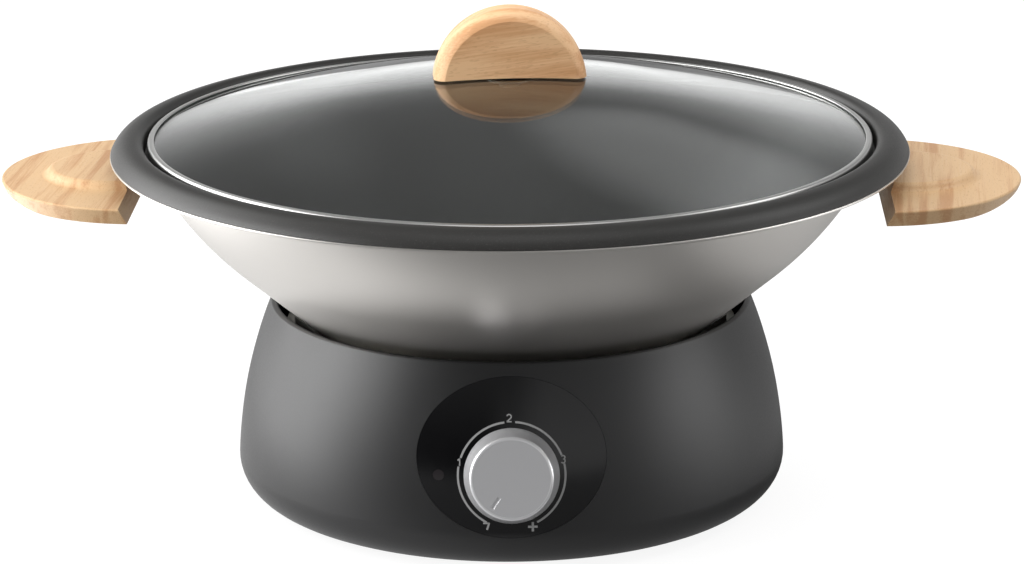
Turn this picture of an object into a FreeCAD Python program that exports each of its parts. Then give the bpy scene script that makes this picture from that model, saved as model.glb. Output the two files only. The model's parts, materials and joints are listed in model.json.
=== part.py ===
import FreeCAD, Part
import math
import os

from FreeCAD import Placement, Rotation, Vector

# Electric wok: a heated base with a dial, a lift-out bowl and a lift-off glass lid.
# Millimetres. Z is up from the surface it stands on, and the dial faces -Y.
# The origin is on that surface, in the middle of the round base.

# Clearances
SEAT_GAP = 0.3             # between a part that lifts off and what it stands on
FIT_GAP = 0.15             # round an inset piece
SLIP_GAP = 0.05            # round a screw, pin or bush in its hole
RUN_GAP = 0.06             # round the turning shaft

# Base housing
BASE_H = 92.2              # height of the mouth
HOUSING_WALL = 3.0
HOUSING_FLARE = 16.1       # how much wider the foot is than the mouth, on the radius
HOUSING_WIDE_Z = 20.3      # height of the widest place
HOUSING_SIDE_R = 215.0     # bulge of the side
HOUSING_LIP_R = 1.0        # rounding of the mouth's edge
MOUTH_GAP = 3.6            # air between the bowl and the mouth
SOLE_Z = 2.0               # underside of the housing above the floor

# Bowl
BOWL_RIM_R = 180.0         # outer edge of the flange
BOWL_DEPTH = 91.0          # flange edge down to the outside of the bottom
BOWL_SINK = 21.6           # how far the bottom hangs below the mouth of the base
BOWL_WALL = 2.0
BOWL_SIDE_R = 149.0        # upper side, outside
BOWL_TOP_ANGLE = 63.7      # slope of the side at the ledge, in degrees
BOWL_CONE_ANGLE = 40.5     # slope of the straight lower side, in degrees
BOWL_CORNER_R = 50.0       # round the flat bottom
FLANGE_W = 11.0            # crest to outer edge
FLANGE_H = 7.3             # crest above outer edge
FLANGE_ROUND = 4.0         # from the riser to the crest
LEDGE_W = 3.6              # step that carries the lid
LEDGE_DROP = 0.9           # step below the outer edge
BOWL_TURN = -1.8           # how the bowl stands in the base, in degrees about Z
FLOOR_RING_H = 3.4         # heights above the bottom where the rings of the bowl meet
LOWER_RING_H = 55.4

# Side handles
HANDLE_TUCK = 10.0         # straight side inside the flange's edge
HANDLE_R = 67.0
HANDLE_SET = 6.0           # centre of the round edge inside the straight side
HANDLE_DRAFT = 3.0         # how much smaller the underside is, on the radius
HANDLE_DROP = 13.0         # top of the plate below the flange edge
HANDLE_T = 7.3
HANDLE_TIP_T = 1.7
HANDLE_FLAT = 33.0         # underside stays flat this far out
HANDLE_BELLY = 1.3         # how much the tapering underside bulges
HANDLE_SLANT = 3.5         # lean of the straight side over the thickness
STEP_R = 31.5              # round end of the raised part, at the middle of its sloping wall
STEP_SET = 8.5             # centre of that round end outside the straight side
STEP_H = 3.5
STEP_SLOPE = 6.0           # width of the sloping wall
BRACKET_T = 2.0
BRACKET_HALF_W = 10.0
BRACKET_RISE = 5.0         # arm above the handle's underside, in a slot in the wood
BRACKET_REACH = 28.0       # how far the arm runs out from the handle's straight side
BRACKET_PAD_H = 14.0       # welded pad on the bowl's side
HANDLE_SCREW_XS = (8.0, 20.0)

# Lid
LID_GAP = 1.7              # between band and bowl riser
BAND_H = 7.0
BAND_T = 1.0
BAND_LIP = 3.0             # how far the band reaches over the glass
BAND_ROUND = 1.5
BAND_HEEL = 0.4            # rounding of the band's lower outer edge
GLASS_T = 4.0
CROWN_R = 400.0            # middle of the dome
CROWN_SPAN = 80.0          # radius where the flatter outer curve begins
SKIRT_R = 1100.0           # outer part of the dome
LID_KNOB_R = 34.4
LID_KNOB_FACE_R = 29.8     # flat face
LID_KNOB_T = 22.0
LID_KNOB_RIM_T = 4.0       # flat band left at the rim
LID_KNOB_TURN = 4.0        # degrees about Z
LID_KNOB_LIFT = 0.6        # above the glass
LID_KNOB_SEAT_R = 482.0    # hollow underside
LID_KNOB_OFFSET = 4.15      # centre of the disc below its underside
LID_GASKET_R = 10.0
LID_SCREW_R = 2.4
LID_SCREW_REACH = 10.0     # into the insert
LID_INSERT_R = 4.0
LID_INSERT_L = 12.0

# Control panel and dial
DIAL_Z = 45.6              # dial axis on the housing's surface
PANEL_TILT = 11.5          # lean of the dial axis above the horizontal, in degrees
PANEL_HALF_W = 41.0
PANEL_HALF_H = 35.0
PANEL_RISE = 7.6          # middle of the oval above the dial axis
PANEL_T = 1.7
PANEL_RECESS = 0.1         # face of the panel below the housing's surface
PANEL_LEDGE = 2.5          # rebate that the panel lies on
PANEL_BOSS_R = 19.0
PANEL_BOSS_DEPTH = 6.0
DIAL_GAP = 0.6             # dial above the panel
DIAL_BASE_R = 20.7
DIAL_TOP_R = 18.0
DIAL_H = 11.0
DIAL_CHAMFER = 1.0
DIAL_CAP_T = 0.8
DIAL_WALL = 1.6
DIAL_HUB_R = 6.0
DIAL_HUB_FLOOR = 2.0       # lower end of the hub above the panel
NOTCH_ANGLE = 33.5         # pointer, degrees to the left of straight down
NOTCH_START = 9.5          # from the dial's centre
NOTCH_L = 6.0
NOTCH_W = 1.6
NOTCH_DEPTH = 0.4
SHAFT_R = 3.0
SHAFT_FLAT = 2.2
SHAFT_INSIDE = 14.0        # into the thermostat
BUSH_R = 5.0
BUSH_SHORT = 0.8           # bush ends below the panel's surface
FRONT_SCREW_X = 14.0
FRONT_SCREW_R = 1.5
FRONT_HEAD_R = 2.8
FRONT_HEAD_H = 1.6
FRONT_SINK = 1.2           # counterbore below the surface
PLATE_T = 1.2
PLATE_HALF_W = 22.0
PLATE_HALF_H = 13.0
STAT_HALF_W = 17.0
STAT_HALF_H = 15.0
STAT_DEPTH = 19.0
TAB_W = 6.3
TAB_T = 0.8
TAB_L = 7.0
STAT_TAB_X = 9.0
LENS_X = -31.6
LENS_R = 2.4
LENS_FLANGE_R = 3.4
LENS_FLANGE_T = 2.0
LAMP_R = 2.0
LAMP_TIP_L = 2.8
LAMP_BODY_L = 5.0
LAMP_BOSS_T = 0.8

# Heater
SHIELD_T = 0.8
SHIELD_INSET = 1.7         # top of the dish inside the support ring
SHIELD_SPREAD = 11.0       # how much narrower its floor is, on the radius
SHIELD_DROP = 14.2         # flange below the mouth
RING_W = 10.0              # support ring, on the radius
RING_T = 1.0
RING_CLEAR = 3.5           # ring's edge inside the mouth
TAB_ANGLES = (25, 155, 205, 335)
REST_T = 1.2
REST_HALF_W = 12.0
REST_L = 9.0
REST_DROP = 1.2            # upper end of a resting tab below the mouth
ELEMENT_R = 3.25
ELEMENT_INSET = 6.9        # ring inside the edge of the bowl's flat bottom
COLD_X = 9.4               # cold ends, each side of the middle
ELEMENT_BEND_R = 7.0
COLD_END_DROP = 14.0       # cold ends below the shield's floor
CRADLE_ANGLES = (0, 180, 270)
CRADLE_HALF_W = 6.0
CRADLE_T = 2.0
CERAMIC_R = 4.9
CERAMIC_FLANGE_R = 7.0
CERAMIC_T = 2.0
CERAMIC_RISE = 1.0         # from the shield's floor to the start of the bends
BULB_R = 2.5
BULB_L = 40.0
BULB_X = 13.0
BULB_NECK = 8.0            # capillary hole to the start of the bulb
BULB_CLIPS = (8.0, 30.0)   # along the bulb
BULB_CLIP_HALF_W = 4.5
CAPILLARY_R = 0.8
CAPILLARY_BEND = 2.5
CAPILLARY_HOLE_R = 1.5
CAPILLARY_INSET = 8.0      # hole inside the element's ring

# Underside
COVER_T = 2.0
COVER_MARGIN = 3.5         # cover's edge inside the housing's roll
POST_R = 4.0
POST_ANGLES = (45, 135, 225, 315)
WEB_T = 2.4
SCREW_R = 1.9
SCREW_L = 12.0
SCREW_HEAD_R = 3.5
SCREW_HEAD_H = 1.6
FOOT_R = 7.0
FOOT_INSET = 20.0          # feet inside the cover's edge
FOOT_STEM_R = 2.5
FOOT_BARB_R = 3.4
FOOT_BARB_H = 1.0
VENT_COUNT = 12
VENT_INSET = 49.3          # middle of the vents inside the cover's edge
VENT_L = 16.0
VENT_HALF_W = 1.6
GLAND_Z = 24.0
GLAND_BORE_R = 3.6
GLAND_NECK_R = 6.0
GLAND_FLANGE_R = 8.5
GLAND_FLANGE_T = 3.0

# Wiring
LEAD_R = 1.2
LAMP_LEAD_R = 0.7
LEAD_BEND = 7.0
BLOCK_HALF_W = 15.0
BLOCK_INSET = 12.3         # back of the block inside the cover's edge
BLOCK_L = 14.0
BLOCK_H = 12.0
BLOCK_PITCH = 9.0
FUSE_R = 2.2
FUSE_L = 16.0
FUSE_X = 34.0
WIRE_Z = 12.0
EARTH_INSET = 11.2         # screw inside the edge of the shield's floor
EARTH_ANGLE = 54.5

# Heights and radii that follow from these
BOWL_BOTTOM_Z = BASE_H - BOWL_SINK
EDGE_Z = BOWL_BOTTOM_Z + BOWL_DEPTH
CREST_Z = EDGE_Z + FLANGE_H
CREST_R = BOWL_RIM_R - FLANGE_W
THROAT_R = CREST_R - FLANGE_ROUND
LEDGE_Z = EDGE_Z - LEDGE_DROP
COVER_TOP = SOLE_Z + COVER_T
HANDLE_X = BOWL_RIM_R - HANDLE_TUCK
UP = Vector(0, 0, 1)


# ---------------------------------------------------------------- helpers

def polar(centre, radius, degrees):
    """Point at an angle on a circle in an outline's plane."""
    angle = math.radians(degrees)
    return centre[0] + radius * math.cos(angle), centre[1] + radius * math.sin(angle)


def arc(centre, radius, start, end):
    """Middle and end point of an arc: one step of an outline."""
    return polar(centre, radius, (start + end) / 2), polar(centre, radius, end)


def outline(*steps):
    """Closed face in the XZ plane; a step is a point, or (middle, end) of an arc."""
    here = Vector(steps[0][0], 0, steps[0][1])
    edges = []
    for step in steps[1:] + (steps[0],):
        if isinstance(step[0], tuple):
            middle, end = (Vector(x, 0, z) for x, z in step)
            edges.append(Part.Arc(here, middle, end).toShape())
        else:
            end = Vector(step[0], 0, step[1])
            if end.distanceToPoint(here) > 1e-6:
                edges.append(Part.LineSegment(here, end).toShape())
        here = end
    return Part.Face(Part.Wire(edges))


def turned(*steps):
    """Solid of revolution about Z of an outline of radii and heights."""
    return outline(*steps).revolve(Vector(), UP, 360)


def rod(radius, low, high, x=0.0, y=0.0):
    """Upright cylinder."""
    return Part.makeCylinder(radius, high - low, Vector(x, y, low))


def tube(outer, inner, low, high, x=0.0, y=0.0):
    """Upright ring."""
    return rod(outer, low, high, x, y).cut(rod(inner, low, high, x, y))


def block(x0, x1, y0, y1, z0, z1):
    """Box between two corners."""
    return Part.makeBox(x1 - x0, y1 - y0, z1 - z0, Vector(x0, y0, z0))


def spun(shape, degrees):
    """Copy of a shape turned about Z."""
    copy = shape.copy()
    copy.rotate(Vector(), UP, degrees)
    return copy


def group(shapes):
    """Several solids as one compound."""
    return Part.makeCompound(list(shapes))


def wire_through(points, radius, bend):
    """Round wire along straight runs joined by tangent arcs of one radius."""
    path, here = [], points[0]
    for before, corner, after in zip(points, points[1:], points[2:]):
        come = (corner - before).normalize()
        go = (after - corner).normalize()
        turn = come.getAngle(go)
        reach = bend * math.tan(turn / 2)
        start, end = corner - come * reach, corner + go * reach
        inward = (go - come).normalize()
        middle = corner + inward * (bend / math.cos(turn / 2) - bend)
        path.append(Part.LineSegment(here, start).toShape())
        path.append(Part.Arc(start, middle, end).toShape())
        here = end
    path.append(Part.LineSegment(here, points[-1]).toShape())
    section = Part.Wire(Part.makeCircle(radius, points[0], points[1] - points[0]))
    return Part.Wire(path).makePipeShell([section], True, True)


# ---------------------------------------------------------------- bowl geometry

# The side's arc meets the ledge on the inside of the wall
SIDE_CENTRE = polar((THROAT_R - LEDGE_W, LEDGE_Z), BOWL_SIDE_R - BOWL_WALL, 90 + BOWL_TOP_ANGLE)
KNEE = polar(SIDE_CENTRE, BOWL_SIDE_R, BOWL_CONE_ANGLE - 90)
CONE_RISE = math.tan(math.radians(BOWL_CONE_ANGLE))
CORNER_TOP_Z = BOWL_BOTTOM_Z + BOWL_CORNER_R * (1 - math.cos(math.radians(BOWL_CONE_ANGLE)))
CORNER_TOP_R = KNEE[0] - (KNEE[1] - CORNER_TOP_Z) / CONE_RISE
FLAT_R = CORNER_TOP_R - BOWL_CORNER_R * math.sin(math.radians(BOWL_CONE_ANGLE))
CORNER_CENTRE = (FLAT_R, BOWL_BOTTOM_Z + BOWL_CORNER_R)


def bowl_cone_r(z):
    """Radius of the bowl's outside on its straight lower side."""
    return KNEE[0] + (z - KNEE[1]) / CONE_RISE


def bowl_side_angle(z, offset=0.0):
    """Polar angle on the side's arc at a height, the surface moved out by an offset."""
    return math.degrees(math.asin((z - SIDE_CENTRE[1]) / (BOWL_SIDE_R + offset)))


def bowl_side_r(z):
    """Radius of the bowl's outside on its curved upper side."""
    return polar(SIDE_CENTRE, BOWL_SIDE_R, bowl_side_angle(z))[0]


def bowl_body(offset, top):
    """The bowl as a full solid up to a height, its outside moved out by an offset."""
    cone = BOWL_CONE_ANGLE - 90
    radius = BOWL_SIDE_R + offset
    return turned(
        (0, BOWL_BOTTOM_Z - offset), (FLAT_R, BOWL_BOTTOM_Z - offset),
        arc(CORNER_CENTRE, BOWL_CORNER_R + offset, -90, cone),
        polar(SIDE_CENTRE, radius, cone),
        arc(SIDE_CENTRE, radius, cone, bowl_side_angle(top, offset)), (0, top))


def wok_bowl():
    """Pressed sheet: flat bottom, coned and curved side, ledge, riser and rolled flange."""
    cone = BOWL_CONE_ANGLE - 90
    under = LEDGE_Z - BOWL_WALL
    crest = (CREST_R, CREST_Z - FLANGE_ROUND)
    roll_r = (FLANGE_W ** 2 + FLANGE_H ** 2) / (2 * FLANGE_H)
    roll = (CREST_R, CREST_Z - roll_r)
    edge = math.degrees(math.atan2(roll_r - FLANGE_H, FLANGE_W))
    inner = BOWL_SIDE_R - BOWL_WALL
    return turned(
        (0, BOWL_BOTTOM_Z), (FLAT_R, BOWL_BOTTOM_Z),
        arc(CORNER_CENTRE, BOWL_CORNER_R, -90, cone), KNEE,
        arc(SIDE_CENTRE, BOWL_SIDE_R, cone, bowl_side_angle(under)),
        (THROAT_R + BOWL_WALL, under), (THROAT_R + BOWL_WALL, crest[1]),
        arc(crest, FLANGE_ROUND - BOWL_WALL, 180, 90),
        arc(roll, roll_r - BOWL_WALL, 90, edge), polar(roll, roll_r, edge),
        arc(roll, roll_r, edge, 90), arc(crest, FLANGE_ROUND, 90, 180),
        (THROAT_R, LEDGE_Z), (THROAT_R - LEDGE_W, LEDGE_Z),
        arc(SIDE_CENTRE, inner, BOWL_TOP_ANGLE - 90, cone),
        polar(CORNER_CENTRE, BOWL_CORNER_R - BOWL_WALL, cone),
        arc(CORNER_CENTRE, BOWL_CORNER_R - BOWL_WALL, cone, -90),
        (0, BOWL_BOTTOM_Z + BOWL_WALL))


def bowl_rings():
    """The pressed bowl as four rings that meet face to face, one above the other."""
    bowl = wok_bowl()
    heights = (BOWL_BOTTOM_Z, BOWL_BOTTOM_Z + FLOOR_RING_H, BOWL_BOTTOM_Z + LOWER_RING_H,
               LEDGE_Z - BOWL_WALL, CREST_Z)
    names = ("wok_bowl_floor", "wok_bowl_lower_side", "wok_bowl_upper_side", "wok_bowl_flange")
    return {name: bowl.common(rod(2 * BOWL_RIM_R, low, high))
            for name, low, high in zip(names, heights, heights[1:])}


# ---------------------------------------------------------------- side handles

HANDLE_TOP = EDGE_Z - HANDLE_DROP
HANDLE_BOTTOM = HANDLE_TOP - HANDLE_T


def handle_bracket():
    """Steel strap on the +X side: a pad welded to the bowl and an arm into the handle."""
    arm_low = HANDLE_BOTTOM + BRACKET_RISE
    pad_low = HANDLE_BOTTOM - BRACKET_T
    pad_high = pad_low + BRACKET_PAD_H
    shell = bowl_body(BRACKET_T, EDGE_Z).cut(bowl_body(0, EDGE_Z))
    pad = shell.common(block(0, HANDLE_X, -BRACKET_HALF_W, BRACKET_HALF_W, pad_low, pad_high))
    arm = block(bowl_side_r(pad_low) - BRACKET_T, HANDLE_X + BRACKET_REACH,
                -BRACKET_HALF_W, BRACKET_HALF_W, arm_low, arm_low + BRACKET_T)
    strap = pad.fuse(arm.cut(bowl_body(0, EDGE_Z))).removeSplitter()
    for x in HANDLE_SCREW_XS:
        strap = strap.cut(rod(SCREW_R + SLIP_GAP, arm_low, HANDLE_TOP, HANDLE_X + x))
    return strap


def handle_screws():
    """Screws on the +X side, from below through wood and arm into the raised part."""
    tip = HANDLE_TOP + STEP_H / 2
    for x in HANDLE_SCREW_XS:
        head = rod(SCREW_HEAD_R, HANDLE_BOTTOM - SCREW_HEAD_H, HANDLE_BOTTOM, HANDLE_X + x)
        yield head.fuse(rod(SCREW_R, HANDLE_BOTTOM, tip, HANDLE_X + x)).removeSplitter()


def side_handle():
    """Half-disc on the +X side with a thinning underside and a raised, round-ended top."""
    centre = HANDLE_X - HANDLE_SET
    tip = centre + HANDLE_R
    flat = HANDLE_X + HANDLE_FLAT
    middle = ((tip + flat) / 2, HANDLE_TOP - (HANDLE_T + HANDLE_TIP_T) / 2 - HANDLE_BELLY)
    lean = HANDLE_SLANT / HANDLE_T
    crown = HANDLE_TOP + STEP_H
    side = outline(
        (HANDLE_X, HANDLE_TOP), (HANDLE_X + lean * STEP_H, crown), (tip, crown),
        (tip, HANDLE_TOP - HANDLE_TIP_T), (middle, (flat, HANDLE_BOTTOM)),
        (HANDLE_X - HANDLE_SLANT, HANDLE_BOTTOM))
    side.translate(Vector(0, -HANDLE_R, 0))
    half = side.extrude(Vector(0, 2 * HANDLE_R, 0))
    disc = Part.makeCone(HANDLE_R - HANDLE_DRAFT, HANDLE_R, HANDLE_T,
                         Vector(centre, 0, HANDLE_BOTTOM))
    rim = [edge for edge in disc.Edges if edge.BoundBox.ZMin > HANDLE_TOP - SLIP_GAP]
    disc = disc.makeFillet(HANDLE_TIP_T / 2, rim)
    reach = STEP_SLOPE / 2
    ogee = (reach ** 2 + (STEP_H / 2) ** 2) / STEP_H
    swing = math.degrees(2 * math.atan2(STEP_H / 2, reach))
    inside, outside = STEP_R - reach, STEP_R + reach
    slope = ((0, HANDLE_TOP - FIT_GAP), (0, crown), (inside, crown),
             arc((inside, crown - ogee), ogee, 90, 90 - swing),
             arc((outside, HANDLE_TOP + ogee), ogee, 270 - swing, 270),
             (outside, HANDLE_TOP - FIT_GAP))
    step = turned(*slope)
    for side_angle in (90, 270):
        step = step.fuse(spun(outline(*slope), side_angle).extrude(Vector(-2 * STEP_SET, 0, 0)))
    step.translate(Vector(HANDLE_X + STEP_SET, 0, 0))
    wood = half.common(disc.fuse(step)).removeSplitter()
    recess = BRACKET_HALF_W + FIT_GAP
    slot_low = HANDLE_BOTTOM + BRACKET_RISE - SLIP_GAP
    wood = wood.cut(block(0, HANDLE_X + BRACKET_REACH + FIT_GAP, -recess, recess,
                          slot_low, slot_low + BRACKET_T + 2 * SLIP_GAP))
    for x in HANDLE_SCREW_XS:
        hole = rod(SCREW_R + SLIP_GAP, HANDLE_BOTTOM, HANDLE_TOP + STEP_H / 2, HANDLE_X + x)
        wood = wood.cut(hole)
    return wood


# ---------------------------------------------------------------- lid

BAND_R = THROAT_R - LID_GAP
BAND_Z = LEDGE_Z + SEAT_GAP
BAND_TOP = BAND_Z + BAND_H
LIP_R = BAND_R - BAND_LIP
GLASS_R = BAND_R - BAND_ROUND - SLIP_GAP   # clear of the rounding inside the band
CROWN_ANGLE = math.degrees(math.asin(CROWN_SPAN / CROWN_R))
SKIRT_X = (CROWN_R - SKIRT_R) * math.sin(math.radians(CROWN_ANGLE))
LIP_ANGLE = math.acos((LIP_R - SKIRT_X) / SKIRT_R)
SKIRT_CENTRE = (SKIRT_X, BAND_TOP - BAND_T - SLIP_GAP - SKIRT_R * math.sin(LIP_ANGLE))
CROWN_CENTRE = (0, SKIRT_CENTRE[1] + (SKIRT_R - CROWN_R) * math.cos(math.radians(CROWN_ANGLE)))
APEX_Z = CROWN_CENTRE[1] + CROWN_R
GLASS_UNDER_Z = APEX_Z - GLASS_T


def lid_glass():
    """Dome with a domed middle, a flatter outer part, a ground edge and a screw hole."""
    outer = math.degrees(math.acos((GLASS_R - SKIRT_CENTRE[0]) / SKIRT_R))
    inner = math.degrees(math.acos((GLASS_R - SKIRT_CENTRE[0]) / (SKIRT_R - GLASS_T)))
    turn = 90 - CROWN_ANGLE
    dome = turned(
        (0, GLASS_UNDER_Z), (0, APEX_Z), arc(CROWN_CENTRE, CROWN_R, 90, turn),
        arc(SKIRT_CENTRE, SKIRT_R, turn, outer),
        polar(SKIRT_CENTRE, SKIRT_R - GLASS_T, inner),
        arc(SKIRT_CENTRE, SKIRT_R - GLASS_T, inner, turn),
        arc(CROWN_CENTRE, CROWN_R - GLASS_T, turn, 90))
    return dome.cut(rod(LID_SCREW_R + FIT_GAP, GLASS_UNDER_Z - GLASS_T, APEX_Z + GLASS_T))


def lid_rim():
    """Rolled steel band round the edge of the glass, open towards the middle."""
    shoulder = (BAND_R - BAND_ROUND, BAND_TOP - BAND_ROUND)
    heel = (BAND_R - BAND_HEEL, BAND_Z + BAND_HEEL)
    foot = (BAND_R - BAND_T, BAND_Z + BAND_T)
    return turned(
        (LIP_R + BAND_T, BAND_Z), (heel[0], BAND_Z), arc(heel, BAND_HEEL, -90, 0),
        (BAND_R, shoulder[1]), arc(shoulder, BAND_ROUND, 0, 90), (LIP_R, BAND_TOP),
        (LIP_R, BAND_TOP - BAND_T), (shoulder[0], BAND_TOP - BAND_T),
        arc(shoulder, BAND_ROUND - BAND_T, 90, 0), foot, (LIP_R + BAND_T, foot[1]))


def lid_knob():
    """Upright half-disc with well rounded edges and a hollow that follows the glass."""
    seat = APEX_Z + LID_KNOB_LIFT
    half, rim = LID_KNOB_T / 2, LID_KNOB_RIM_T / 2
    round_r, round_y = LID_KNOB_R - LID_KNOB_FACE_R, half - rim
    diagonal = math.sqrt(0.5)
    edge_r, edge_y = LID_KNOB_FACE_R + round_r * diagonal, rim + round_y * diagonal
    disc = turned(
        (0, -half), (LID_KNOB_FACE_R, -half), ((edge_r, -edge_y), (LID_KNOB_R, -rim)),
        (LID_KNOB_R, rim), ((edge_r, edge_y), (LID_KNOB_FACE_R, half)), (0, half))
    disc.rotate(Vector(), Vector(1, 0, 0), 90)
    disc.translate(Vector(0, 0, seat - LID_KNOB_OFFSET))
    hollow = Part.makeSphere(LID_KNOB_SEAT_R, Vector(0, 0, seat - LID_KNOB_SEAT_R))
    pocket = rod(LID_INSERT_R + SLIP_GAP, APEX_Z, seat + LID_INSERT_L + SLIP_GAP)
    return spun(disc.cut(hollow).cut(pocket), LID_KNOB_TURN)


def lid_fixings():
    """Insert, screw, washer and two gaskets that clamp the knob to the glass."""
    seat = APEX_Z + LID_KNOB_LIFT
    seal_z = GLASS_UNDER_Z - LID_KNOB_LIFT
    bore = LID_SCREW_R + SLIP_GAP
    crown = Part.makeSphere(CROWN_R, Vector(0, 0, CROWN_CENTRE[1]))
    vault = Part.makeSphere(CROWN_R - GLASS_T, Vector(0, 0, CROWN_CENTRE[1]))
    hollow = Part.makeSphere(LID_KNOB_SEAT_R - SLIP_GAP, Vector(0, 0, seat - LID_KNOB_SEAT_R))
    upper = tube(LID_GASKET_R, bore, APEX_Z - LID_KNOB_LIFT, seat).cut(crown).common(hollow)
    lower = tube(LID_GASKET_R, bore, seal_z, APEX_Z).common(vault)
    washer = tube(LID_GASKET_R, bore, seal_z - SHIELD_T, seal_z)
    head_top = seal_z - SHIELD_T
    head = rod(2 * LID_SCREW_R, head_top - LID_SCREW_R, head_top)
    screw = head.fuse(rod(LID_SCREW_R, head_top, seat + LID_SCREW_REACH)).removeSplitter()
    insert = rod(LID_INSERT_R, seat, seat + LID_INSERT_L)
    insert = insert.cut(rod(bore, seat, seat + LID_SCREW_REACH + FIT_GAP))
    return {"lid_gasket_upper": upper, "lid_gasket_lower": lower, "lid_washer": washer,
            "lid_screw": screw, "lid_knob_insert": insert}


# ---------------------------------------------------------------- housing geometry

MOUTH_R = bowl_cone_r(BASE_H) + MOUTH_GAP
TOP = (MOUTH_R + HOUSING_WALL, BASE_H)
WIDE = (TOP[0] + HOUSING_FLARE, HOUSING_WIDE_Z)
CHORD = math.hypot(HOUSING_FLARE, BASE_H - HOUSING_WIDE_Z)
CHORD_ANGLE = math.degrees(math.atan2(BASE_H - HOUSING_WIDE_Z, -HOUSING_FLARE))
BULGE_CENTRE = polar(((TOP[0] + WIDE[0]) / 2, (TOP[1] + WIDE[1]) / 2),
                     math.sqrt(HOUSING_SIDE_R ** 2 - (CHORD / 2) ** 2), CHORD_ANGLE + 90)
LEAN = math.degrees(math.asin((HOUSING_WIDE_Z - BULGE_CENTRE[1]) / HOUSING_SIDE_R))
ROLL_R = (HOUSING_WIDE_Z - SOLE_Z) / (1 + math.sin(math.radians(LEAN)))
ROLL_CENTRE = polar(WIDE, ROLL_R, LEAN + 180)
COVER_R = ROLL_CENTRE[0] - COVER_MARGIN
FLANGE_Z = BASE_H - SHIELD_DROP
RING_OUTER = MOUTH_R - RING_CLEAR
RING_INNER = RING_OUTER - RING_W
POST_RING_R = (RING_OUTER + RING_INNER) / 2


def housing_r(z, inset=0.0):
    """Radius of the housing's side at a height, moved in by an inset."""
    radius = HOUSING_SIDE_R - inset
    return polar(BULGE_CENTRE, radius,
                 math.degrees(math.asin((z - BULGE_CENTRE[1]) / radius)))[0]


def housing_body(inset):
    """The housing as a full solid, its side and sole moved in by an inset."""
    side = HOUSING_SIDE_R - inset
    top = math.degrees(math.asin((BASE_H - BULGE_CENTRE[1]) / side))
    return turned(
        (0, SOLE_Z + inset), (ROLL_CENTRE[0], SOLE_Z + inset),
        arc(ROLL_CENTRE, ROLL_R - inset, -90, LEAN),
        arc(BULGE_CENTRE, side, LEAN, top), (0, BASE_H))


# The dial's own frame: z along its axis out of the panel, x to the right, y up the panel
DIAL_FRAME = Placement(Vector(0, -housing_r(DIAL_Z), DIAL_Z),
                       Rotation(Vector(1, 0, 0), 90 - PANEL_TILT))


def on_dial(shape):
    """Copy of a shape moved from the dial's frame to its place on the housing."""
    copy = shape.copy()
    copy.Placement = DIAL_FRAME.multiply(copy.Placement)
    return copy


def dial_point(x, y, z):
    """Place of a point given in the dial's frame."""
    return DIAL_FRAME.multVec(Vector(x, y, z))


def oval(inset):
    """Oval prism through the front of the housing, its outline moved in by an inset."""
    wide = Vector(PANEL_HALF_W - inset, 0, 0)
    tall = Vector(0, PANEL_HALF_H - inset, 0)
    long_axis, short_axis = (wide, tall) if wide.Length >= tall.Length else (tall, wide)
    face = Part.Face(Part.Wire(Part.Ellipse(long_axis, short_axis, Vector()).toShape()))
    depth = 2 * PANEL_BOSS_DEPTH + HOUSING_WALL
    face.translate(Vector(0, PANEL_RISE, -depth))
    return on_dial(face.extrude(Vector(0, 0, 2 * depth)))


def base_housing():
    """Moulded shell with its mouth, panel rebate, window, posts, webs and cord hole."""
    shell = housing_body(0).cut(housing_body(HOUSING_WALL))
    lip = [edge for edge in shell.Edges if edge.BoundBox.ZMin > BASE_H - SLIP_GAP]
    shell = shell.makeFillet(min(HOUSING_LIP_R, HOUSING_WALL / 3), lip)
    shell = shell.cut(rod(COVER_R + FIT_GAP, 0, COVER_TOP + COVER_T))
    web = block(POST_RING_R, WIDE[0], -WEB_T / 2, WEB_T / 2, COVER_TOP + COVER_T,
                FLANGE_Z - COVER_T)
    post = rod(POST_R, COVER_TOP, FLANGE_Z, POST_RING_R)
    for angle in POST_ANGLES:
        rib = spun(post.fuse(web.common(housing_body(HOUSING_WALL / 2))), angle)
        shell = shell.fuse(rib)
    pilot = SCREW_R + SLIP_GAP
    for angle in POST_ANGLES:
        lower = rod(pilot, COVER_TOP, COVER_TOP + SCREW_L, POST_RING_R)
        upper = rod(pilot, FLANGE_Z - SCREW_L, FLANGE_Z, POST_RING_R)
        shell = shell.cut(spun(lower, angle)).cut(spun(upper, angle))
    rebate = oval(-FIT_GAP).cut(housing_body(PANEL_RECESS + PANEL_T))
    shell = shell.cut(rebate).cut(oval(PANEL_LEDGE))
    inner_end = Vector(0, housing_r(GLAND_Z) - 2 * HOUSING_WALL, GLAND_Z)
    neck = Part.makeCylinder(GLAND_NECK_R, 3 * HOUSING_WALL, inner_end, Vector(0, 1, 0))
    return shell.cut(neck).removeSplitter()


# ---------------------------------------------------------------- panel and dial

LENS_FACE_Z = -(WIDE[0] - math.sqrt(WIDE[0] ** 2 - LENS_X ** 2)) - PANEL_RECESS
LENS_SEAT_Z = LENS_FACE_Z - PANEL_T - FIT_GAP
LAMP_Z = LENS_SEAT_Z - LENS_FLANGE_T - FIT_GAP
LAMP_BACK_Z = LAMP_Z - LAMP_TIP_L - LAMP_BODY_L
STAT_FRONT_Z = -PANEL_BOSS_DEPTH - PLATE_T
STAT_BACK_Z = STAT_FRONT_Z - STAT_DEPTH
TAB_END_Z = STAT_BACK_Z - TAB_L


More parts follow.
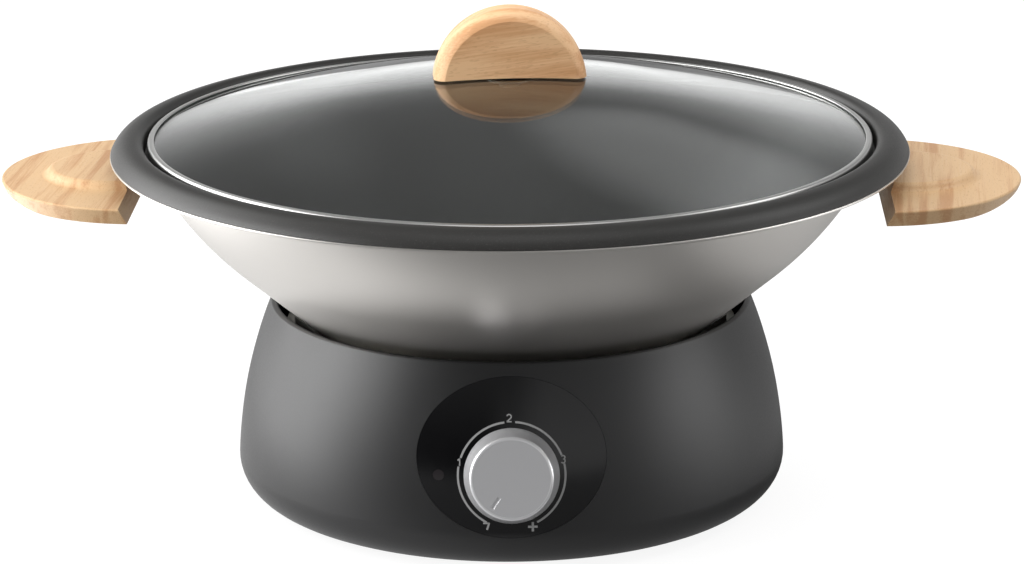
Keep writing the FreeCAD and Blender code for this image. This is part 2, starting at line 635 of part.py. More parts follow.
def control_panel():
    """Oval skin let into the housing, with a boss for the thermostat and one for the lamp."""
    skin = housing_body(PANEL_RECESS).cut(housing_body(PANEL_RECESS + PANEL_T)).common(oval(0))
    backing = housing_body(PANEL_RECESS + PANEL_T / 2)
    boss = on_dial(rod(PANEL_BOSS_R, -PANEL_BOSS_DEPTH, 0)).common(backing)
    socket_r = LENS_FLANGE_R + FIT_GAP
    socket = on_dial(rod(socket_r + LAMP_BOSS_T, LAMP_BACK_Z + LAMP_BODY_L / 2, 0, LENS_X))
    panel = skin.fuse(boss).fuse(socket.common(backing))
    holes = [rod(BUSH_R + FIT_GAP, -PANEL_BOSS_DEPTH, DIAL_GAP),
             rod(LENS_R + SLIP_GAP, LENS_SEAT_Z, DIAL_GAP, LENS_X),
             rod(socket_r, LAMP_BACK_Z, LENS_SEAT_Z, LENS_X)]
    for x in (-FRONT_SCREW_X, FRONT_SCREW_X):
        holes.append(rod(FRONT_SCREW_R + SLIP_GAP, -PANEL_BOSS_DEPTH, DIAL_GAP, x))
        holes.append(rod(FRONT_HEAD_R + FIT_GAP, -FRONT_SINK, DIAL_GAP, x))
    for hole in holes:
        panel = panel.cut(on_dial(hole))
    return panel.removeSplitter()


def indicator_lens():
    """Round pilot-light window, flush with the panel, with a flange behind it."""
    stem = on_dial(rod(LENS_R, LENS_SEAT_Z, DIAL_GAP, LENS_X)).common(housing_body(PANEL_RECESS))
    flange = on_dial(rod(LENS_FLANGE_R, LENS_SEAT_Z - LENS_FLANGE_T, LENS_SEAT_Z, LENS_X))
    return stem.fuse(flange).removeSplitter()


def indicator_lamp():
    """Neon lamp behind the lens, held in the panel's lamp boss."""
    tip = rod(LAMP_R, LAMP_Z - LAMP_TIP_L, LAMP_Z, LENS_X)
    body = rod(LENS_FLANGE_R, LAMP_BACK_Z, LAMP_Z - LAMP_TIP_L, LENS_X)
    return on_dial(tip.fuse(body).removeSplitter())


def thermostat():
    """Plate, body with its bush, push-on tabs and front screws, in the dial's frame."""
    plate = block(-PLATE_HALF_W, PLATE_HALF_W, -PLATE_HALF_H, PLATE_HALF_H,
                  STAT_FRONT_Z, -PANEL_BOSS_DEPTH)
    plate = plate.common(rod(PLATE_HALF_W, STAT_FRONT_Z, -PANEL_BOSS_DEPTH))
    plate = plate.cut(rod(BUSH_R + SLIP_GAP, STAT_FRONT_Z, 0))
    body = block(-STAT_HALF_W, STAT_HALF_W, -STAT_HALF_H, STAT_HALF_H,
                 STAT_BACK_Z, STAT_FRONT_Z)
    body = body.fuse(rod(BUSH_R, STAT_FRONT_Z, -BUSH_SHORT)).removeSplitter()
    body = body.cut(rod(SHAFT_R + RUN_GAP, -SHAFT_INSIDE - RUN_GAP, 0))
    tab = block(-TAB_T / 2, TAB_T / 2, -TAB_W / 2, TAB_W / 2, TAB_END_Z, STAT_BACK_Z)
    tabs = [tab.translated(Vector(x, 0, 0)) for x in (-STAT_TAB_X, STAT_TAB_X)]
    screws = []
    for x in (-FRONT_SCREW_X, FRONT_SCREW_X):
        plate = plate.cut(rod(FRONT_SCREW_R + SLIP_GAP, STAT_FRONT_Z, 0, x))
        head = rod(FRONT_HEAD_R, -FRONT_SINK, FRONT_HEAD_H - FRONT_SINK, x)
        shank = rod(FRONT_SCREW_R, STAT_FRONT_Z, -FRONT_SINK, x)
        screws.append(head.fuse(shank).removeSplitter())
    return {"thermostat_bracket": on_dial(plate), "thermostat_body": on_dial(body),
            "thermostat_terminals": on_dial(group(tabs)),
            "thermostat_screws": on_dial(group(screws))}


def flatted_rod(radius, flat, low, high):
    """Round rod with one flat side."""
    return rod(radius, low, high).cut(block(flat, 2 * radius, -radius, radius, low, high))


def dial():
    """Silver cap with a pointer notch, its moulded core with the hub, and the shaft."""
    low, high = DIAL_GAP, DIAL_GAP + DIAL_H
    taper = (DIAL_BASE_R - DIAL_TOP_R) / (DIAL_H - DIAL_CHAMFER)
    under = high - DIAL_CAP_T
    bevel = DIAL_TOP_R - DIAL_CHAMFER

    def skirt(z, inset):
        return DIAL_BASE_R - (z - low) * taper - inset, z

    cap = turned(
        skirt(low, 0), skirt(high - DIAL_CHAMFER, 0), (bevel, high), (0, high), (0, under),
        (bevel - DIAL_CAP_T, under), skirt(under - DIAL_CHAMFER, DIAL_CAP_T),
        skirt(low, DIAL_CAP_T))
    notch = block(-NOTCH_W / 2, NOTCH_W / 2, -NOTCH_START - NOTCH_L, -NOTCH_START,
                  high - NOTCH_DEPTH, high)
    cap = cap.cut(spun(notch, -NOTCH_ANGLE))
    core_low, core_high = low + DIAL_CAP_T, under - SLIP_GAP
    inset = DIAL_CAP_T + SLIP_GAP
    web_z = core_high - DIAL_WALL
    core = turned(
        (0, DIAL_HUB_FLOOR), (DIAL_HUB_R, DIAL_HUB_FLOOR), (DIAL_HUB_R, web_z),
        skirt(web_z, inset + DIAL_WALL), skirt(core_low, inset + DIAL_WALL),
        skirt(core_low, inset), skirt(core_high - DIAL_CHAMFER, inset),
        (bevel - inset, core_high), (0, core_high))
    shaft_top = web_z - SLIP_GAP
    core = core.cut(flatted_rod(SHAFT_R + SLIP_GAP, SHAFT_FLAT + SLIP_GAP,
                                DIAL_HUB_FLOOR, web_z))
    shaft = rod(SHAFT_R, -SHAFT_INSIDE, DIAL_GAP)
    shaft = shaft.fuse(flatted_rod(SHAFT_R, SHAFT_FLAT, DIAL_GAP, shaft_top)).removeSplitter()
    return {"knob_cap": on_dial(cap), "control_knob": on_dial(core),
            "thermostat_shaft": on_dial(shaft)}


# ---------------------------------------------------------------- heater

ELEMENT_RING_R = FLAT_R - ELEMENT_INSET
ELEMENT_Z = BOWL_BOTTOM_Z - SEAT_GAP - ELEMENT_R
FLOOR_TOP = ELEMENT_Z - ELEMENT_BEND_R - CERAMIC_RISE
FLOOR_Z = FLOOR_TOP - SHIELD_T
COLD_END_Z = FLOOR_Z - COLD_END_DROP
BULB_Z = BOWL_BOTTOM_Z - SEAT_GAP - BULB_R
COLD_REACH = math.hypot(ELEMENT_RING_R, ELEMENT_BEND_R)
GAP_ANGLE = math.atan2(ELEMENT_BEND_R, ELEMENT_RING_R) + math.asin(COLD_X / COLD_REACH)
GAP_DEGREES = math.degrees(GAP_ANGLE)
COLD_Y = ELEMENT_RING_R * math.cos(GAP_ANGLE) + ELEMENT_BEND_R * math.sin(GAP_ANGLE)
CAPILLARY_Y = CAPILLARY_INSET - ELEMENT_RING_R
BULB_START = CAPILLARY_Y + BULB_NECK
SHIELD_TOP_R = RING_INNER - SHIELD_INSET
SHIELD_FLOOR_R = SHIELD_TOP_R - SHIELD_SPREAD
EARTH_X, EARTH_Y = polar((0, 0), SHIELD_FLOOR_R - EARTH_INSET, EARTH_ANGLE)


def heat_shield():
    """Bright sheet dish under the bowl with a flange that lies on the posts."""
    slope = math.hypot(SHIELD_TOP_R - SHIELD_FLOOR_R, FLANGE_Z - FLOOR_Z)
    thick = SHIELD_T * slope / (FLANGE_Z - FLOOR_Z)
    dish = turned(
        (0, FLOOR_Z), (SHIELD_FLOOR_R, FLOOR_Z), (SHIELD_TOP_R, FLANGE_Z),
        (RING_OUTER, FLANGE_Z), (RING_OUTER, FLANGE_Z + SHIELD_T),
        (SHIELD_TOP_R - thick, FLANGE_Z + SHIELD_T), (SHIELD_FLOOR_R - thick, FLOOR_TOP),
        (0, FLOOR_TOP))
    for x in (-COLD_X, COLD_X):
        dish = dish.cut(rod(CERAMIC_R + SLIP_GAP, FLOOR_Z, FLOOR_TOP, x, COLD_Y))
    dish = dish.cut(rod(CAPILLARY_HOLE_R, FLOOR_Z, FLOOR_TOP, BULB_X, CAPILLARY_Y))
    dish = dish.cut(rod(SCREW_R + SLIP_GAP, FLOOR_Z, FLOOR_TOP, EARTH_X, EARTH_Y))
    hole = rod(SCREW_R + SLIP_GAP, FLANGE_Z, FLANGE_Z + SHIELD_T, POST_RING_R)
    for angle in POST_ANGLES:
        dish = dish.cut(spun(hole, angle))
    return dish


def bowl_support_ring():
    """Flat ring with four bent tabs that the bowl rests on."""
    low = FLANGE_Z + SHIELD_T
    ring = tube(RING_OUTER, RING_INNER, low, low + RING_T)
    tilt = math.radians(BOWL_CONE_ANGLE)
    top_z = BASE_H - REST_DROP
    top_r = bowl_cone_r(top_z)

    def beside_bowl(along, below):
        return (top_r - along * math.cos(tilt) + below * math.sin(tilt),
                top_z - along * math.sin(tilt) - below * math.cos(tilt))

    upper = beside_bowl(0, SEAT_GAP)
    leg = upper[0] - REST_T
    fold = beside_bowl(REST_T / math.cos(tilt), SEAT_GAP + REST_T)
    face = outline(
        upper, beside_bowl(REST_L, SEAT_GAP), beside_bowl(REST_L, SEAT_GAP + REST_T),
        (leg, fold[1] + (leg - fold[0]) * CONE_RISE), (leg, low), (upper[0], low))
    face.translate(Vector(0, -REST_HALF_W, 0))
    tab = face.extrude(Vector(0, 2 * REST_HALF_W, 0))
    for angle in TAB_ANGLES:
        ring = ring.fuse(spun(tab, angle))
    hole = rod(SCREW_R + SLIP_GAP, low, low + RING_T, POST_RING_R)
    for angle in POST_ANGLES:
        ring = ring.cut(spun(hole, angle))
    return ring.removeSplitter()


def heating_element():
    """Tubular element: a ring with an opening, and two cold ends bent down through it."""
    ring_start = Vector(*polar((0, 0), ELEMENT_RING_R, 90 + GAP_DEGREES), ELEMENT_Z)
    ring_end = Vector(*polar((0, 0), ELEMENT_RING_R, 90 - GAP_DEGREES), ELEMENT_Z)
    ring_far = Vector(0, -ELEMENT_RING_R, ELEMENT_Z)
    diagonal = ELEMENT_BEND_R * math.sqrt(0.5)

    def bend(start, side):
        """Quarter bend from the ring's end down into a cold end."""
        way = Vector(side * math.cos(GAP_ANGLE), math.sin(GAP_ANGLE), 0)
        centre = start - UP * ELEMENT_BEND_R
        return centre + way * ELEMENT_BEND_R, centre + (way + UP) * diagonal

    left, left_middle = bend(ring_start, 1)
    right, right_middle = bend(ring_end, -1)
    left_foot = Vector(left.x, left.y, COLD_END_Z)
    right_foot = Vector(right.x, right.y, COLD_END_Z)
    path = Part.Wire([
        Part.LineSegment(left_foot, left).toShape(),
        Part.Arc(left, left_middle, ring_start).toShape(),
        Part.Arc(ring_start, ring_far, ring_end).toShape(),
        Part.Arc(ring_end, right_middle, right).toShape(),
        Part.LineSegment(right, right_foot).toShape()])
    section = Part.Wire(Part.makeCircle(ELEMENT_R, left_foot, UP))
    return path.makePipeShell([section], True, True)


def element_supports():
    """Cradles on the shield's floor, each hollowed to the element."""
    hollow = Part.makeTorus(ELEMENT_RING_R, ELEMENT_R + SLIP_GAP)
    hollow.translate(Vector(0, 0, ELEMENT_Z))
    cradle = block(ELEMENT_RING_R - CRADLE_HALF_W, ELEMENT_RING_R + CRADLE_HALF_W,
                   -CRADLE_T / 2, CRADLE_T / 2, FLOOR_TOP, ELEMENT_Z).cut(hollow)
    return group(spun(cradle, angle) for angle in CRADLE_ANGLES)


def element_bushes():
    """Ceramic bushes that carry the cold ends through the shield."""
    bushes = []
    for x in (-COLD_X, COLD_X):
        bush = rod(CERAMIC_R, FLOOR_Z, FLOOR_TOP + CERAMIC_RISE, x, COLD_Y)
        bush = bush.fuse(rod(CERAMIC_FLANGE_R, FLOOR_Z - CERAMIC_T, FLOOR_Z, x, COLD_Y))
        bore = rod(ELEMENT_R + SLIP_GAP, COLD_END_Z, ELEMENT_Z, x, COLD_Y)
        bushes.append(bush.cut(bore).removeSplitter())
    return group(bushes)


def element_terminals():
    """Push-on tabs on the cold ends."""
    low = COLD_END_Z - TAB_L
    return group(block(x - TAB_W / 2, x + TAB_W / 2, COLD_Y - TAB_T / 2, COLD_Y + TAB_T / 2,
                       low, COLD_END_Z) for x in (-COLD_X, COLD_X))


def feeler():
    """Capillary tube, sensor bulb under the bowl, and the clips that hold the bulb."""
    bulb = Part.makeCylinder(BULB_R, BULB_L, Vector(BULB_X, BULB_START, BULB_Z), Vector(0, 1, 0))
    hollow = Part.makeCylinder(BULB_R + SLIP_GAP, BULB_L, Vector(BULB_X, BULB_START, BULB_Z),
                               Vector(0, 1, 0))
    clips = []
    for along in BULB_CLIPS:
        y = BULB_START + along
        strip = block(BULB_X - BULB_CLIP_HALF_W, BULB_X + BULB_CLIP_HALF_W,
                      y, y + CRADLE_T, FLOOR_TOP, BULB_Z)
        clips.append(strip.cut(hollow))
    start = dial_point(BULB_X, STAT_HALF_H / 2, STAT_BACK_Z)
    away = dial_point(BULB_X, STAT_HALF_H / 2, STAT_BACK_Z - 2 * CAPILLARY_BEND)
    route = [start, away, Vector(BULB_X, CAPILLARY_Y, away.z),
             Vector(BULB_X, CAPILLARY_Y, BULB_Z), Vector(BULB_X, BULB_START, BULB_Z)]
    return {"sensor_bulb": bulb, "bulb_clips": group(clips),
            "capillary_tube": wire_through(route, CAPILLARY_R, CAPILLARY_BEND)}


# ---------------------------------------------------------------- underside and wiring

VENT_R = COVER_R - VENT_INSET
BLOCK_Y = COVER_R - BLOCK_INSET - BLOCK_L


def pan_screws(head_z, direction):
    """Four pan-head screws in the posts; direction is +1 for shanks that point up."""
    head_end = head_z - direction * SCREW_HEAD_H
    shank_end = head_z + direction * SCREW_L
    head = rod(SCREW_HEAD_R, min(head_z, head_end), max(head_z, head_end), POST_RING_R)
    shank = rod(SCREW_R, min(head_z, shank_end), max(head_z, shank_end), POST_RING_R)
    screw = head.fuse(shank).removeSplitter()
    return group(spun(screw, angle) for angle in POST_ANGLES)


def foot_places():
    """Middle of each rubber foot."""
    return [polar((0, 0), COVER_R - FOOT_INSET, angle) for angle in POST_ANGLES]


def bottom_cover():
    """Round cover under the posts, with vents and holes for screws and feet."""
    cover = rod(COVER_R, SOLE_Z, COVER_TOP)
    hole = rod(SCREW_R + SLIP_GAP, SOLE_Z, COVER_TOP, POST_RING_R)
    for angle in POST_ANGLES:
        cover = cover.cut(spun(hole, angle))
    for x, y in foot_places():
        cover = cover.cut(rod(FOOT_STEM_R + SLIP_GAP, SOLE_Z, COVER_TOP, x, y))
    slot = block(VENT_R - VENT_L / 2, VENT_R + VENT_L / 2, -VENT_HALF_W, VENT_HALF_W,
                 SOLE_Z, COVER_TOP)
    for number in range(VENT_COUNT):
        cover = cover.cut(spun(slot, 360 * number / VENT_COUNT))
    return cover.cut(rod(SCREW_R + SLIP_GAP, SOLE_Z, COVER_TOP, 0, BLOCK_Y + BLOCK_L / 2))


def rubber_feet():
    """Push-in feet, each with a stem through the cover and a barb above it."""
    feet = []
    for x, y in foot_places():
        foot = rod(FOOT_R, 0, SOLE_Z, x, y).fuse(rod(FOOT_STEM_R, SOLE_Z, COVER_TOP, x, y))
        barb = rod(FOOT_BARB_R, COVER_TOP, COVER_TOP + FOOT_BARB_H, x, y)
        feet.append(foot.fuse(barb).removeSplitter())
    return group(feet)


def cord_gland():
    """Bush at the back with a flange on each side of the wall and a bore for the cord."""
    out = Vector(0, 1, 0)
    face = housing_r(GLAND_Z)
    length = 2 * GLAND_FLANGE_T + HOUSING_WALL
    start = Vector(0, face + GLAND_FLANGE_T - length, GLAND_Z)
    solid = Part.makeCylinder(GLAND_FLANGE_R, length, start, out)
    wall = housing_body(0).cut(housing_body(HOUSING_WALL))
    bush = solid.cut(wall).fuse(Part.makeCylinder(GLAND_NECK_R, length, start, out))
    return bush.cut(Part.makeCylinder(GLAND_BORE_R, length, start, out)).removeSplitter()


def terminal_block():
    """Three-pole block at the back of the cover, and the screw that holds it from below."""
    y = BLOCK_Y + BLOCK_L / 2
    tip = COVER_TOP + BLOCK_H / 2
    body = block(-BLOCK_HALF_W, BLOCK_HALF_W, BLOCK_Y, BLOCK_Y + BLOCK_L,
                 COVER_TOP, COVER_TOP + BLOCK_H).cut(rod(SCREW_R + SLIP_GAP, COVER_TOP, tip, 0, y))
    head = rod(SCREW_HEAD_R, SOLE_Z - SCREW_HEAD_H, SOLE_Z, 0, y)
    screw = head.fuse(rod(SCREW_R, SOLE_Z, tip, 0, y)).removeSplitter()
    return {"terminal_block": body, "terminal_block_screw": screw}


def wiring():
    """Leads from the terminal block through thermostat and fuse to the element, and earth."""
    fuse_y = FUSE_L / 2
    tab_z = COLD_END_Z - TAB_L
    lane = FUSE_X + BLOCK_PITCH
    block_z = COVER_TOP + BLOCK_H / 2
    stat_left = dial_point(-STAT_TAB_X, 0, TAB_END_Z)
    stat_right = dial_point(STAT_TAB_X, 0, TAB_END_Z)
    back = dial_point(0, 0, TAB_END_Z - 3 * LEAD_BEND)
    exit_y = BLOCK_Y - 2 * LEAD_BEND
    left_tab = Vector(-COLD_X, COLD_Y, tab_z)
    right_tab = Vector(COLD_X, COLD_Y, tab_z)
    routes = {
        "live_lead": [
            Vector(-BLOCK_PITCH, BLOCK_Y, block_z), Vector(-BLOCK_PITCH, exit_y, block_z),
            Vector(-lane, COLD_Y - 3 * LEAD_BEND, WIRE_Z), Vector(-lane, back.y, WIRE_Z),
            Vector(-STAT_TAB_X, back.y, back.z), stat_left],
        "switched_lead": [
            stat_right, Vector(STAT_TAB_X, back.y, back.z), Vector(FUSE_X, back.y, WIRE_Z),
            Vector(FUSE_X, -fuse_y, WIRE_Z)],
        "fused_lead": [
            Vector(FUSE_X, fuse_y, WIRE_Z), Vector(FUSE_X, COLD_Y - 2 * LEAD_BEND, WIRE_Z),
            Vector(COLD_X, COLD_Y, WIRE_Z), right_tab],
        "neutral_lead": [
            Vector(0, BLOCK_Y, block_z), Vector(0, exit_y, block_z),
            Vector(-COLD_X, COLD_Y, block_z), left_tab]}
    earth_z = FLOOR_Z - SCREW_HEAD_H
    routes["earth_lead"] = [
        Vector(BLOCK_PITCH, BLOCK_Y, block_z), Vector(BLOCK_PITCH, exit_y, block_z),
        Vector(EARTH_X, EARTH_Y, block_z), Vector(EARTH_X, EARTH_Y, earth_z)]
    leads = {name: wire_through(route, LEAD_R, LEAD_BEND) for name, route in routes.items()}
    pins = []
    reach = LAMP_BACK_Z - LEAD_BEND
    for y in (-LENS_R / 2, LENS_R / 2):
        route = [dial_point(LENS_X, y, LAMP_BACK_Z), dial_point(LENS_X, y, reach),
                 dial_point(-STAT_HALF_W, y, reach)]
        pins.append(wire_through(route, LAMP_LEAD_R, LEAD_BEND / 2))
    leads["lamp_leads"] = group(pins)
    leads["thermal_fuse"] = Part.makeCylinder(
        FUSE_R, FUSE_L, Vector(FUSE_X, -fuse_y, WIRE_Z), Vector(0, 1, 0))
    head = rod(SCREW_HEAD_R, earth_z, FLOOR_Z, EARTH_X, EARTH_Y)
    shank = rod(SCREW_R, FLOOR_Z, FLOOR_TOP + SCREW_HEAD_H, EARTH_X, EARTH_Y)
    leads["earth_screw"] = head.fuse(shank).removeSplitter()
    return leads


# ---------------------------------------------------------------- whole part

def nodes():
    """Every node of the part by name."""
    handle, bracket, screws = side_handle(), handle_bracket(), list(handle_screws())
    right, left = BOWL_TURN, BOWL_TURN + 180
    ring_top = FLANGE_Z + SHIELD_T + RING_T
    parts = {
        "base_housing": base_housing(), "control_panel": control_panel(),
        "indicator_lens": indicator_lens(), "indicator_lamp": indicator_lamp(),
        "heat_shield": heat_shield(), "bowl_support_ring": bowl_support_ring(),
        "heating_element": heating_element(), "element_supports": element_supports(),
        "element_bushes": element_bushes(), "element_terminals": element_terminals(),
        "bottom_cover": bottom_cover(), "rubber_feet": rubber_feet(),
        "cover_screws": pan_screws(SOLE_Z, 1), "shield_screws": pan_screws(ring_top, -1),
        "cord_gland": cord_gland(),
        "right_handle": spun(handle, right), "left_handle": spun(handle, left),
        "right_handle_bracket": spun(bracket, right), "left_handle_bracket": spun(bracket, left),
        "handle_screws": group(spun(screw, side) for side in (right, left) for screw in screws),
        "lid_glass": lid_glass(), "lid_rim": lid_rim(), "lid_knob": lid_knob()}
    for family in (bowl_rings(), thermostat(), dial(), feeler(), terminal_block(), wiring(),
                   lid_fixings()):
        parts.update(family)
    return parts


def main():
    """Write one STEP file per node."""
    os.makedirs("parts", exist_ok=True)
    for name, shape in nodes().items():
        sizes = [f"{solid.Volume:.1f}" for solid in shape.Solids]
        print(name, "valid" if shape.isValid() else "NOT VALID", *sizes)
        shape.exportStep(f"parts/{name}.step")


main()
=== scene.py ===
"""Electric wok: the visible surfaces and finishes, built round the solid frame.

Lengths are in millimetres in every class below and become metres in a mesh.
X is to the right, -Y is the front with the dial, and Z is up from the worktop.
"""

import json
import logging
import math
from dataclasses import dataclass
from enum import Enum
from functools import lru_cache
from typing import Sequence

import bpy
import numpy as np
from mathutils import Matrix, Vector

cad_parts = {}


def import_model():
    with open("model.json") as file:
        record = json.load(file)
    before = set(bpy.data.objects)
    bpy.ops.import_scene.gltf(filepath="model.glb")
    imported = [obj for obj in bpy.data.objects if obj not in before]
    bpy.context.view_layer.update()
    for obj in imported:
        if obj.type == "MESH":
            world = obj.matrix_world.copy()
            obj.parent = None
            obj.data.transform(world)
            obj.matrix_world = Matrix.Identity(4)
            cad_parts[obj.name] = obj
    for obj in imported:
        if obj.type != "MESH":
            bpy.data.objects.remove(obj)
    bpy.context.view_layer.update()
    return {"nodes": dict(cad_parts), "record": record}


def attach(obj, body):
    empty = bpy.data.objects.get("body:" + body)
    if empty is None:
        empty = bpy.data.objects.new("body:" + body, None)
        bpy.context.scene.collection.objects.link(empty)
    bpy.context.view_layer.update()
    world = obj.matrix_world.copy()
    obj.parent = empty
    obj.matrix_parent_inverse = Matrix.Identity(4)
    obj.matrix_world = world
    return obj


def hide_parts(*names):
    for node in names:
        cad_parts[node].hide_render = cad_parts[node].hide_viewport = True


Pair = tuple[float, float]
Triple = tuple[float, float, float]
Colour = tuple[float, float, float, float]
Stops = Sequence[tuple[float, Colour]]
Point = Sequence[float]
Faces = Sequence[Sequence[int]]
Surface = tuple[np.ndarray, list]
Material = bpy.types.Material
Node = bpy.types.Node
Socket = bpy.types.NodeSocket
Tree = bpy.types.NodeTree

MM = 0.001
TAU = 2.0 * math.pi
ON_AXIS = 1e-6              # a radius below this is on the axis
TURN_STEPS = 256            # steps round a turned piece
SRGB_TOE = 0.04045          # the sRGB curve is straight up to here
SRGB_SLOPE = 12.92
SRGB_OFFSET = 0.055
SRGB_POWER = 2.4
LOG = logging.getLogger("wok")


# -------- colour and nodes


def linear(code: str) -> Colour:
    """Turn an sRGB hex colour into linear red, green, blue and alpha.

    Args:
        code: Six hex digits with a leading hash.

    Returns:
        The colour as four floats, alpha 1.
    """
    red, green, blue = (
        part / SRGB_SLOPE if part <= SRGB_TOE
        else ((part + SRGB_OFFSET) / (1 + SRGB_OFFSET)) ** SRGB_POWER
        for part in (int(code[i:i + 2], 16) / 255 for i in (1, 3, 5)))
    return red, green, blue, 1.0


def grey(level: float) -> Colour:
    """A linear grey."""
    return level, level, level, 1.0


def grey_stops(pairs: Sequence[Pair]) -> Stops:
    """Stops of grey for a colour ramp, from pairs of place and level."""
    return [(place, grey(level)) for place, level in pairs]


def add(tree: Tree, kind: str, inputs: dict | Sequence = (), stops: Stops = (),
        **settings: object) -> Node:
    """Add one node with its settings, socket values and incoming links.

    Args:
        tree: The node tree to add to.
        kind: The node's type without the ShaderNode prefix.
        inputs: Socket names to values, or the values of the first sockets in order.
            A value may be an output to link from, or a node for its first output.
        stops: Position and linear colour of each stop of a colour ramp, rising.
        settings: Attributes of the node itself.

    Returns:
        The new node.
    """
    node = tree.nodes.new("ShaderNode" + kind)
    for name, value in settings.items():
        setattr(node, name, value)
    for key, value in (inputs.items() if isinstance(inputs, dict)
                       else enumerate(inputs)):
        source = value.outputs[0] if isinstance(value, Node) else value
        if isinstance(source, Socket):
            tree.links.new(source, node.inputs[key])
        else:
            node.inputs[key].default_value = source
    if stops:
        elements = node.color_ramp.elements
        while len(elements) < len(stops):
            elements.new(0.5)
        for element, (place, colour) in zip(elements, stops):
            element.position, element.color = place, colour
    return node


def empty_tree(owner: bpy.types.ID) -> Tree:
    """Give a material or world nodes, and return its empty tree."""
    owner.use_nodes = True
    owner.node_tree.nodes.clear()
    return owner.node_tree


def new_object(name: str, data: bpy.types.ID) -> bpy.types.Object:
    """Make an object and link it into the scene."""
    made = bpy.data.objects.new(name, data)
    bpy.context.scene.collection.objects.link(made)
    return made


class Shading:
    """A node material while it is built, with one Principled shader."""

    def __init__(self, name: str, sockets: dict | Sequence = ()) -> None:
        """Start the material.

        Args:
            name: The material's name.
            sockets: Values for the shader's own sockets.
        """
        self.material = bpy.data.materials.new(name)
        self.tree = empty_tree(self.material)
        self.shader = add(self.tree, "BsdfPrincipled", sockets)
        add(self.tree, "OutputMaterial", {"Surface": self.shader})

    def link(self, source: Socket, socket: str) -> None:
        """Link an output to one of the shader's sockets."""
        self.tree.links.new(source, self.shader.inputs[socket])


# -------- surfaces


def arc(centre: Pair, radius: float, start: float, end: float,
        count: int = 12) -> np.ndarray:
    """Points on a circle: centre plus radius times cosine and sine of even angles.

    Args:
        centre: Centre of the circle.
        radius: Its radius.
        start: First angle in degrees.
        end: Last angle in degrees.
        count: Number of points.

    Returns:
        One row of two numbers for each point.
    """
    angle = np.radians(np.linspace(start, end, count))
    return np.column_stack((centre[0] + radius * np.cos(angle),
                            centre[1] + radius * np.sin(angle)))


def line(start: Point, end: Point, count: int = 2) -> np.ndarray:
    """Even points on a straight line: the start plus a share of the way to the end."""
    share = np.linspace(0.0, 1.0, count)[:, None]
    return np.asarray(start, float) * (1 - share) + np.asarray(end, float) * share


def eased(before: Point, corner: Point, after: Point, reach: float,
          count: int = 6) -> np.ndarray:
    """A soft corner: a quadratic curve from just before the corner to just after it.

    A point at share t is (1-t) squared of the start, 2t(1-t) of the corner and t
    squared of the end.

    Args:
        before: A point that the line comes from.
        corner: The corner.
        after: A point that the line goes to.
        reach: How far from the corner the curve starts and ends.
        count: Number of points.

    Returns:
        One row of two numbers for each point.
    """
    corner = np.asarray(corner, float)
    ways = [np.asarray(point, float) - corner for point in (before, after)]
    start, end = (corner + way * reach / np.hypot(*way) for way in ways)
    t = np.linspace(0.0, 1.0, count)[:, None]
    return (1 - t) ** 2 * start + 2 * t * (1 - t) * corner + t ** 2 * end


def volume(points: np.ndarray, faces: Faces) -> float:
    """Signed volume inside a closed surface, positive where its faces point outwards.

    It is the sum, over the fan triangles of each face, of a sixth of the triple
    product of their corners.
    """
    total = 0.0
    sizes = np.array([len(face) for face in faces])
    for size in np.unique(sizes):
        table = np.array([face for face in faces if len(face) == size])
        for second in range(1, size - 1):
            a, b, c = (points[table[:, k]] for k in (0, second, second + 1))
            total += float(np.einsum("ij,ij->i", a, np.cross(b, c)).sum()) / 6
    return total


def piece(name: str, points_mm: np.ndarray, faces: Faces,
          material: Material, body: str, sharp_deg: float = 35.0) -> bpy.types.Object:
    """Make a closed mesh a piece of the object that moves with a body.

    Args:
        name: The piece's name.
        points_mm: Corner places in millimetres.
        faces: Corner numbers of each face; all are turned round if they point inwards.
        material: Its finish.
        body: The body that it rides on.
        sharp_deg: Edges that turn by more than this stay crisp.

    Returns:
        The new object.
    """
    points = np.asarray(points_mm, float) * MM
    faces = [tuple(int(i) for i in face) for face in faces]
    if volume(points, faces) < 0:
        faces = [face[::-1] for face in faces]
    mesh = bpy.data.meshes.new(name)
    mesh.from_pydata(points.tolist(), [], faces)
    mesh.validate()
    mesh.polygons.foreach_set("use_smooth", [True] * len(mesh.polygons))
    mesh.set_sharp_from_angle(angle=math.radians(sharp_deg))
    mesh.materials.append(material)
    made = new_object(name, mesh)
    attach(made, body)
    LOG.info("%s: %d faces on %s", name, len(faces), body)
    return made


def grid_faces(rows: int, columns: int, wrap_rows: bool,
               wrap_columns: bool) -> np.ndarray:
    """Four-sided faces of a grid numbered row by row, closed either way if asked."""
    down = np.arange(rows if wrap_rows else rows - 1)
    across = np.arange(columns if wrap_columns else columns - 1)
    i, j = (a.ravel() for a in np.meshgrid(down, across, indexing="ij"))
    k, m = (i + 1) % rows * columns, (j + 1) % columns
    i = i * columns
    return np.column_stack((i + j, i + m, k + m, k + j))


